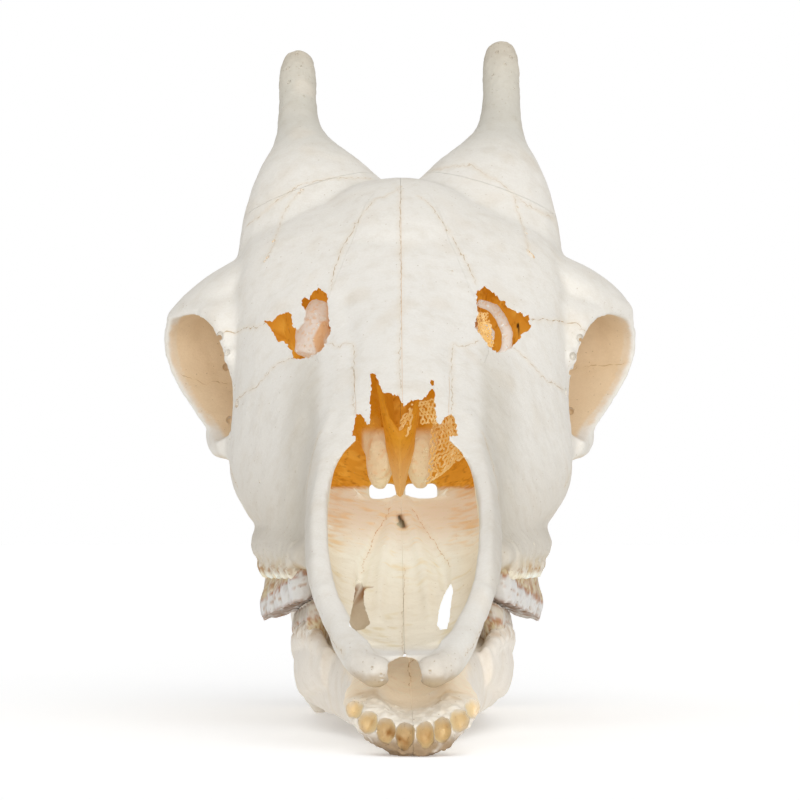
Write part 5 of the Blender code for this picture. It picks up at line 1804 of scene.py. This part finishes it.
# %% The head's colours
def head_colour(points, outward):
    """The colour of each point of the head's bones."""
    x, y, z = np.abs(points[:, 0]), points[:, 1], points[:, 2]
    inner = turned_inwards(points, outward)
    seen = in_picture(points)
    patch, fleck, speck = uneven(points, 0.018, 71), uneven(points, 0.006, 72), uneven(points, 0.0016, 74)
    # Painted shade: cheek marks the low cheeks, which are laid darker.
    cheek = ramp(x, 0.034, 0.044) * ramp(-z, -0.15, -0.095) * ramp(y, 0.15, 0.21)
    at_roots = ramp(-z, -0.092, -0.08) * ramp(y, 0.19, 0.21) * ramp(-y, -0.4, -0.37) * (1 - inner)
    # Painted shade: the valley low beside the snout and the hollow behind the rim of the nose are laid
    # greyer.
    valley_shade = (
        ramp(x, 0.04, 0.046) * ramp(-x, -0.06, -0.05) * ramp(-z, -0.135, -0.1) * ramp(-y, -0.26, -0.2)
    )
    shade_behind_rim = (
        ramp(x, 0.038, 0.045) * ramp(-x, -0.066, -0.052) * ramp(y, 0.19, 0.23) * ramp(-y, -0.34, -0.27)
    )
    tips = ramp(-y, -0.043, -0.026)
    out_from, back_from, up_from = orbit_directions()
    mirrored = np.stack([x, y, z], 1) - ORBIT_CENTRE
    off_axis = np.hypot(mirrored @ back_from, mirrored @ up_from)
    orbit = ramp(-off_axis, -0.044, -0.04) * ramp(mirrored @ out_from, -0.076, -0.07)
    socket = np.clip(inner * orbit, 0, 1)
    nose = inner * (1 - orbit) * ramp(-y, -0.46, -0.43) * ramp(-x, -0.08, -0.076)
    beside_wall = nose * ramp(x, 0.022, 0.034) * ramp(y, 0.18, 0.24) * ramp(patch + fleck, -0.5, 0.6)
    edge = 0.1235 + 0.0012 * fleck + 0.0008 * uneven(points, 0.003, 73)
    amber = nose * ramp(z - edge, -0.0012, 0.0014) * ramp(y, 0.205, 0.23)
    vein = ramp(-np.abs(uneven(points, 0.011, 75)), -0.05, 0.0)
    hole_shadow = nearness(seen, [(519, 326), (520, 327)], 4.0)
    swelling = (
        ramp(-z, -0.074, -0.0725) * (y > 0.155) * (y < 0.28) * (points[:, 0] < -0.013) * (x < 0.028)
    )
    hole = nearness(seen, [(400, 517), (404, 526)], 5.0) * nose
    colour = coated(len(points), "#E6E2DA", [
        # Painted light: the front of the head above the cheeks is laid a little lighter.
        ("#E9E6E0", ramp(z, 0.15, 0.21) * ramp(-y, -0.4, -0.32) * 0.5),
        ("#CBC7BC", ramp(z, 0.3, 0.345) * 0.95),
        ("#BDB4A6", ramp(z, 0.365, 0.385) * 0.6),
        ("#E0D8CB", ramp(patch, 0.1, 0.9) * 0.55),
        # Painted shade on the low cheeks.
        ("#D3CBBD", cheek * 0.75),
        ("#C9B893", at_roots * ramp(fleck, -0.6, 0.6) * 0.85),
        ("#A8713A", at_roots * ramp(-z, -0.088, -0.079) * ramp(speck + 0.6 * fleck, -0.05, 0.5) * 0.85),
        # Painted shade in the valley beside the snout and behind the nose rim.
        ("#BFB6A7", valley_shade * 0.45),
        ("#C9C2B4", shade_behind_rim * 0.6),
        # The tips of the snout are darker bone; the extra darkening on their undersides is painted shade.
        ("#B09C80", tips * (0.25 + 0.6 * ramp(-outward[:, 2], -0.1, 0.7))),
        # Painted shade: surfaces that face down, low on the head, are laid darker.
        ("#CDB998", ramp(-outward[:, 2], 0.45, 0.9) * ramp(-z, -0.16, -0.13) * 0.7),
        ("#D6C6A8", ramp(y, 0.5, 0.6) * 0.35),
        ("#D9C2A0", socket * 0.95),
        # Painted shade: deeper into the orbit the tan is laid darker.
        ("#C9A677", socket * ramp(-x, -0.096, -0.07) * 0.7),
        ("#EFE6D2", nose * ramp(y, 0.03, 0.07)),
        ("#DDE4DE", nose * ramp(y, 0.12, 0.26) * 0.9),
        ("#E3C896", nose * ramp(x, 0.026, 0.034) * ramp(-y, -0.26, -0.2) * 0.15),
        ("#DCC998", nose * ramp(fleck + patch, 0.3, 1.2) * 0.5),
        ("#D2AE66", beside_wall * 0.35),
        # Painted light: the amber coats stand for lamp light shining through the thin walls deep in the nose.
        ("#CB9420", amber * 0.97),
        ("#DDB450", amber * ramp(fleck, 0.0, 0.6) * 0.6),
        ("#AE7210", amber * ramp(patch + 0.6 * speck, 0.0, 0.6) * 0.7),
        ("#8E4F0A", amber * vein * 0.55),
        # Painted shadow: deep inside the vessel hole in the skull's left face gap the bone is laid nearly
        # black.
        ("#2A190B", inner * ramp(hole_shadow, 0.15, 0.5) * (y > 0.36)),
        ("#B5A48A", swelling * 0.9),
        ("#8C5C2C", swelling * ramp(z + 0.002 * fleck, 0.065, 0.067) * 0.9),
        # Painted shade: deep in the small hole in the floor of the nose the bone is laid brown.
        ("#8A6238", hole * ramp(y - 0.1 * z, 0.262, 0.27) * 0.8),
    ])
    # Painted light: emission makes the thin amber walls glow as if lit through from behind, and brightens the
    # floor of the nose, the orbits and the swelling under the palate.
    glow = np.max([
        amber * 0.42, nose * ramp(y, 0.12, 0.26) * 0.3, socket * 0.1, swelling * 0.3,
    ], axis=0) * (1 - hole)
    return colour, np.clip(roughness_of(points) + 0.15 * inner, 0, 1), glow


# %% The lower jaw's colours
def jaw_colour(points, outward):
    """The colour of each point of the lower jaw's bone."""
    x, y, z = np.abs(points[:, 0]), points[:, 1], points[:, 2]
    patch, fleck = uneven(points, 0.016, 81), uneven(points, 0.005, 82)
    scoop = ramp(outward[:, 2], 0.1, 0.6) * ramp(-y, -0.17, -0.12)
    gum = ramp(y, 0.185, 0.205) * ramp(-y, -0.4, -0.37) * ramp(z, 0.044, 0.05)
    front = y < 0.06
    depth = np.zeros(len(points))
    depth[front] = [jaw_outer.find_nearest(Vector(point))[3] for point in points[front]]
    mouth = ramp(depth, 0.00005, 0.0003) * ramp(-depth, -0.0012, -0.0006) * ramp(z, 0.009, 0.012)
    brown_spots = nearness(in_picture(points), BROWN_SOCKET_SPOTS, 5.0)
    colour = coated(len(points), "#F1EADF", [
        ("#E9DDCA", ramp(patch, 0.0, 0.9) * 0.6),
        ("#E8D8BE", scoop * 0.85),
        ("#C9A76E", scoop * ramp(-y, -0.06, -0.03) * ramp(x, 0.011, 0.016) * ramp(fleck, -0.1, 0.6) * 0.6),
        ("#E8E0D2", ramp(-y, -0.042, -0.024) * ramp(z, 0.004, 0.01) * 0.7),
        ("#94764F", ramp(-z, -0.012, -0.005) * ramp(-y, -0.045, -0.02) * ramp(fleck, -1.2, -0.1) * 0.9),
        ("#C3A57F", gum * ramp(fleck, -0.5, 0.6) * 0.7),
        ("#E4CFA2", ramp(depth, 0.0006, 0.003) * 0.9),
        # Painted shade: deeper in the sockets the tan is laid darker.
        ("#CDAA74", ramp(depth, 0.0045, 0.0075) * ramp(fleck, -0.3, 0.5) * 0.7),
        ("#F0E9DC", mouth * 0.6),
        # Deep in the sockets the bone is laid dark brown, most of all at the listed spots.
        ("#A06C28", ramp(depth, 0.003, 0.006) * np.maximum(0.85 * brown_spots, 0.12 * ramp(fleck, 0.0, 0.7))),
    ])
    # Painted light: emission brightens the scoop between the prongs and, a little, the depths of the sockets.
    glow = np.maximum(0.26 * scoop * ramp(y, 0.025, 0.06), 0.08 * ramp(depth, 0.001, 0.004))
    return colour, roughness_of_jaw(points), glow


# %% The teeth's colours
def tooth_colour(points, upper):
    """Bluish enamel with brown stains at the neck, in the grooves and on the worn edge."""
    y, z = points[:, 1], points[:, 2]
    patch, fleck, speck = uneven(points, 0.006, 91), uneven(points, 0.0026, 92), uneven(points, 0.0013, 93)
    row_height = np.array([bite(a, b) for a, b in points[:, :2]])
    above = (z - row_height) * (1 if upper else -1)
    if upper:
        neck = np.clip(0.0148 - 0.085 * (y - UPPER_ROW_START), 0.01, 1) + 0.0012 * patch
    else:
        neck = 0.0088 + 0.001 * patch
    root = ramp(above - neck, 0.0004, 0.0016)
    ring = ramp(above - neck, -0.002, -0.0006) * ramp(neck - above, -0.0024, -0.0008)
    colour = coated(len(points), "#DAD8D4" if upper else "#CDC3B2", [
        ("#BFBCB8", ramp(patch, 0.0, 0.8) * 0.6),
        ("#D3C39A", root * 0.9),
        ("#E2DCCD", root * ramp(fleck + patch, 0.1, 0.6) * 0.8),
        ("#A5672F", root * ramp(speck - 0.6 * fleck, 0.15, 0.5) * 0.75),
        ("#A9672F", ring * ramp(fleck + 0.6 * speck, -0.5, 0.3) * 0.9),
        ("#B07A48", ramp(above - neck, 0.003, 0.005) * ramp(fleck, 0.0, 0.5) * 0.7),
        ("#966334", ramp(-above, -0.0032, -0.001) * ramp(fleck + patch, -0.7, 0.1) * 0.75),
        ("#A8763F", ramp(-np.abs(above - 0.62 * neck), -0.0009, -0.0001) * ramp(speck, 0.0, 0.3) * 0.6),
        ("#A67A46", ramp(fleck * patch, 0.06, 0.3) * (0.7 if upper else 0.9)),
    ])
    return colour, np.full(len(points), 0.25), np.zeros(len(points))


# %% The colours inside the nose
def nose_colour(points, name):
    """The colours of the thin bones inside the nose."""
    x, z = np.abs(points[:, 0]), points[:, 2]
    patch, fleck = uneven(points, 0.007, 95), uneven(points, 0.0025, 96)
    if name == "vomer":
        ground, coats = "#D2AE6E", [
            ("#CC9628", ramp(z, 0.128, 0.15) * 0.97),
            ("#B27C1C", ramp(fleck, 0.0, 0.8) * ramp(z, 0.13, 0.15) * 0.5),
        ]
    elif name.startswith("lace"):
        ground, coats = "#DDBF7C", [("#EADBAE", ramp(fleck, -0.2, 0.8))]
    else:
        low = ramp(-z, -0.157, -0.15) * ramp(-x, -0.0215, -0.0185)
        high = ramp(x, 0.036, 0.041) * ramp(z, 0.186, 0.19)
        fold = nearness(in_picture(points), [(322, 352), (318, 340), (325, 326)], 8.0)
        mottled = np.maximum(high * ramp(fold, 0.1, 0.5), 0.6 * low * ramp(fleck + patch, 0.2, 1.0))
        ground, coats = "#CA9324", [
            ("#D6AC50", ramp(patch, -0.2, 0.7) * 0.6),
            ("#D8D4BC", low * 0.92),
            ("#D8E1E4", high * 0.97),
            ("#CFAE78", high * ramp(uneven(points, 0.0016, 97), 0.3, 0.44) * 0.35),
            ("#D3B488", mottled * 0.85),
        ]
    # Painted light: every bone inside the nose glows evenly through emission, as if lit through.
    return coated(len(points), ground, coats), np.full(len(points), 0.6), np.full(len(points), 0.31)

# %% [markdown]
# ## Materials
# Bone is a mineral with the gloss of unglazed biscuit ware: index of refraction 1.55, roughness
# about 0.65. Its surface shows broad pale clouds a centimetre or so across, short fibres along
# the bone and pores a few tenths of a millimetre wide. The pores are drawn at 0.6 mm, because
# finer ones would vanish in the picture. Enamel is denser and smoother and has a soft shine.
# The stored glow sets an emission, which is painted light in the hollows.

# %% Bleached bone
CLOUD_MM, GRAIN_MM, PORE_SPACING_MM, BEAD_MM = 9.0, 1.3, 1.9, 3.2


def bone_material(name, roughness, relief, cloud="#DDD3C2", pore="#A58B66", ior=1.55, shine=0.28):
    """Dry bone: its stored tint, clouds, grain, pores and seams, and an emission from the stored glow that
    paints light into hollows.
    """
    material = bpy.data.materials.new(name)
    material.use_nodes = True
    tree = material.node_tree
    place = node(tree, "TexCoord").outputs["Object"]
    tint = node(tree, "Attribute", attribute_name="tint")
    wear, seam_at, seam_near, seam_strength, glow = [
        node(tree, "Attribute", attribute_name=key).outputs["Fac"]
        for key in ("wear", "seam", "seam_near", "seam_strength", "glow")
    ]
    clouds = node(tree, "TexNoise", {
        "Vector": place, "Scale": 1000 / CLOUD_MM, "Detail": 5.0, "Roughness": 0.6,
    })
    grain = node(tree, "TexNoise", {
        "Vector": place, "Scale": 1000 / GRAIN_MM, "Detail": 4.0, "Roughness": 0.65,
    })
    mask = node(tree, "MapRange", {"Value": clouds, "From Min": 0.48, "From Max": 0.72, "To Max": 0.22})
    clouded = node(tree, "Mix", {0: mask, 6: tint, 7: linear(cloud)}, data_type="RGBA", blend_type="MULTIPLY")
    mask = node(tree, "MapRange", {"Value": grain, "From Min": 0.4, "From Max": 0.72, "To Max": 0.1})
    grained = node(
        tree, "Mix", {0: mask, 6: clouded, 7: linear("#C9B999")}, data_type="RGBA", blend_type="MULTIPLY"
    )
    cells = node(tree, "TexVoronoi", {"Vector": place, "Scale": 1000 / PORE_SPACING_MM})
    chosen = node(tree, "SeparateColor", {"Color": cells.outputs["Color"]})
    share = node(tree, "MapRange", {"Value": wear, "To Min": 0.04, "To Max": 0.42})
    picked = node(tree, "Math", {0: chosen, 1: share}, operation="LESS_THAN")
    dot = node(tree, "MapRange", {
        "Value": cells.outputs["Distance"], "From Min": 0.1, "From Max": 0.24, "To Min": 1.0, "To Max": 0.0,
    })
    pores = node(tree, "Math", {0: picked, 1: dot}, operation="MULTIPLY")
    mask = node(tree, "Math", {0: pores, 1: 0.55}, operation="MULTIPLY")
    pored = node(tree, "Mix", {0: mask, 6: grained, 7: linear(pore)}, data_type="RGBA")
    # A seam's line is at most 0.7 mm wide and breaks into beads, as a closing suture does.
    beads = node(tree, "TexNoise", {"Vector": place, "Scale": 1000 / BEAD_MM, "Detail": 3.0})
    width = node(tree, "MapRange", {
        "Value": beads, "From Min": 0.42, "From Max": 0.66, "To Min": 0.02, "To Max": 0.34,
    })
    offset = node(tree, "Math", {0: seam_at}, operation="ABSOLUTE")
    ratio = node(tree, "Math", {0: offset, 1: width}, operation="DIVIDE")
    line = node(tree, "MapRange", {
        "Value": ratio, "From Min": 0.6, "From Max": 1.3, "To Min": 1.0, "To Max": 0.0,
    })
    close = node(tree, "Math", {0: seam_near, 1: 1.5}, operation="LESS_THAN")
    strength = node(tree, "Math", {0: close, 1: seam_strength}, operation="MULTIPLY")
    seam = node(tree, "Math", {0: line, 1: strength}, operation="MULTIPLY")
    halo = node(tree, "MapRange", {
        "Value": seam_near, "From Min": 0.0, "From Max": 2.6, "To Min": 0.16, "To Max": 0.0,
    })
    warmed = node(tree, "Mix", {0: halo, 6: pored, 7: linear("#D9BF93")}, data_type="RGBA")
    lined = node(tree, "Mix", {0: seam, 6: warmed, 7: linear("#B89A70")}, data_type="RGBA")
    # Painted light: the stored glow sets an emission in the bone's own colour.
    through = node(tree, "Mix", {0: glow, 6: (0, 0, 0, 1), 7: lined}, data_type="RGBA")
    pits = node(tree, "Math", {0: pores, 1: seam}, operation="ADD")
    fibre = node(tree, "Math", {0: grain, 1: 0.7}, operation="MULTIPLY")
    height = node(tree, "Math", {0: fibre, 1: pits}, operation="SUBTRACT")
    bumped = node(tree, "Bump", {"Height": height, "Strength": relief, "Distance": 0.0004})
    wired(tree, tree.nodes["Principled BSDF"], {
        "Base Color": lined, "Emission Color": through, "Emission Strength": 1.0, "Normal": bumped,
        "Roughness": roughness, "IOR": ior, "Specular IOR Level": shine,
    })
    return material


BLEACHED_BONE = bone_material("bleached bone", 0.7, 0.55)
JAW_BONE = bone_material("bleached jaw bone", 0.62, 0.6)
SCROLL_BONE = bone_material("papery scroll bone", 0.66, 0.7, cloud="#DFD2B8", pore="#C9A878")
AMBER_BONE = bone_material("thin amber bone", 0.58, 0.6, cloud="#D9B074", pore="#8A5A1E")
ENAMEL = bone_material("worn tooth enamel", 0.3, 0.35, "#C9C4BE", "#7E5A38", ior=1.62, shine=0.5)
print("materials:", BLEACHED_BONE.name, JAW_BONE.name, SCROLL_BONE.name, AMBER_BONE.name, ENAMEL.name)

# %% [markdown]
# ## Finish each piece
# Every piece is coloured, shaded round with sharp edges where it was cut, moved into the frame,
# and set to ride on the skull in place of its solid.

# %% Colour, place and join to the frame
def finish_piece(piece, name, node_name, material, paint, rows=None, tree=None):
    """Everything a piece needs before it joins the frame."""
    mesh = piece.data
    points, outward = points_of(mesh), normals_of(mesh)
    tint, wear, glow = paint(points, outward)
    set_value(mesh, "tint", np.column_stack([tint, np.ones(len(tint))]), "FLOAT_COLOR")
    set_value(mesh, "wear", wear)
    set_value(mesh, "glow", glow)
    if rows:
        signed, plain, strength = seam_values(points, rows, tree)
    else:
        signed, plain, strength = (np.full(len(points), value) for value in (9.0, 9.0, 0.0))
    set_value(mesh, "seam", signed)
    set_value(mesh, "seam_near", plain)
    set_value(mesh, "seam_strength", np.where(strength > 1, 0, strength))
    mesh.transform(INTO_FRAME)
    mesh.shade_smooth()
    mesh.set_sharp_from_angle(angle=math.radians(55))
    mesh.materials.clear()
    mesh.materials.append(material)
    piece.name = name
    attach(piece, "root")
    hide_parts(node_name)
    mesh.calc_loop_triangles()
    return len(mesh.loop_triangles)


counts = {}
for name, bone in bones.items():
    if name.startswith("mandible"):
        look = ("_bone", JAW_BONE, jaw_colour, jaw_rows, jaw_seams)
    else:
        look = ("_fine", BLEACHED_BONE, head_colour, head_rows, head_seams)
    counts[name] = finish_piece(bone, name + look[0], name, *look[1:])
for name, (row, node_name) in rows_of_teeth.items():
    upper = name.startswith("upper")
    counts[name] = finish_piece(row, name, node_name, ENAMEL, lambda p, n: tooth_colour(p, upper))
for name, part in nose_parts.items():
    material = AMBER_BONE if name == "vomer" else SCROLL_BONE
    counts[name] = finish_piece(part, name + "_fine", name, material, lambda p, n: nose_colour(p, name))
for part in lace_parts:
    counts[part.name] = finish_piece(
        part, part.name, "nose_scroll_left", AMBER_BONE, lambda p, n: nose_colour(p, "lace")
    )
bpy.data.objects.remove(outer)
print("triangles:", counts, "in all", sum(counts.values()))
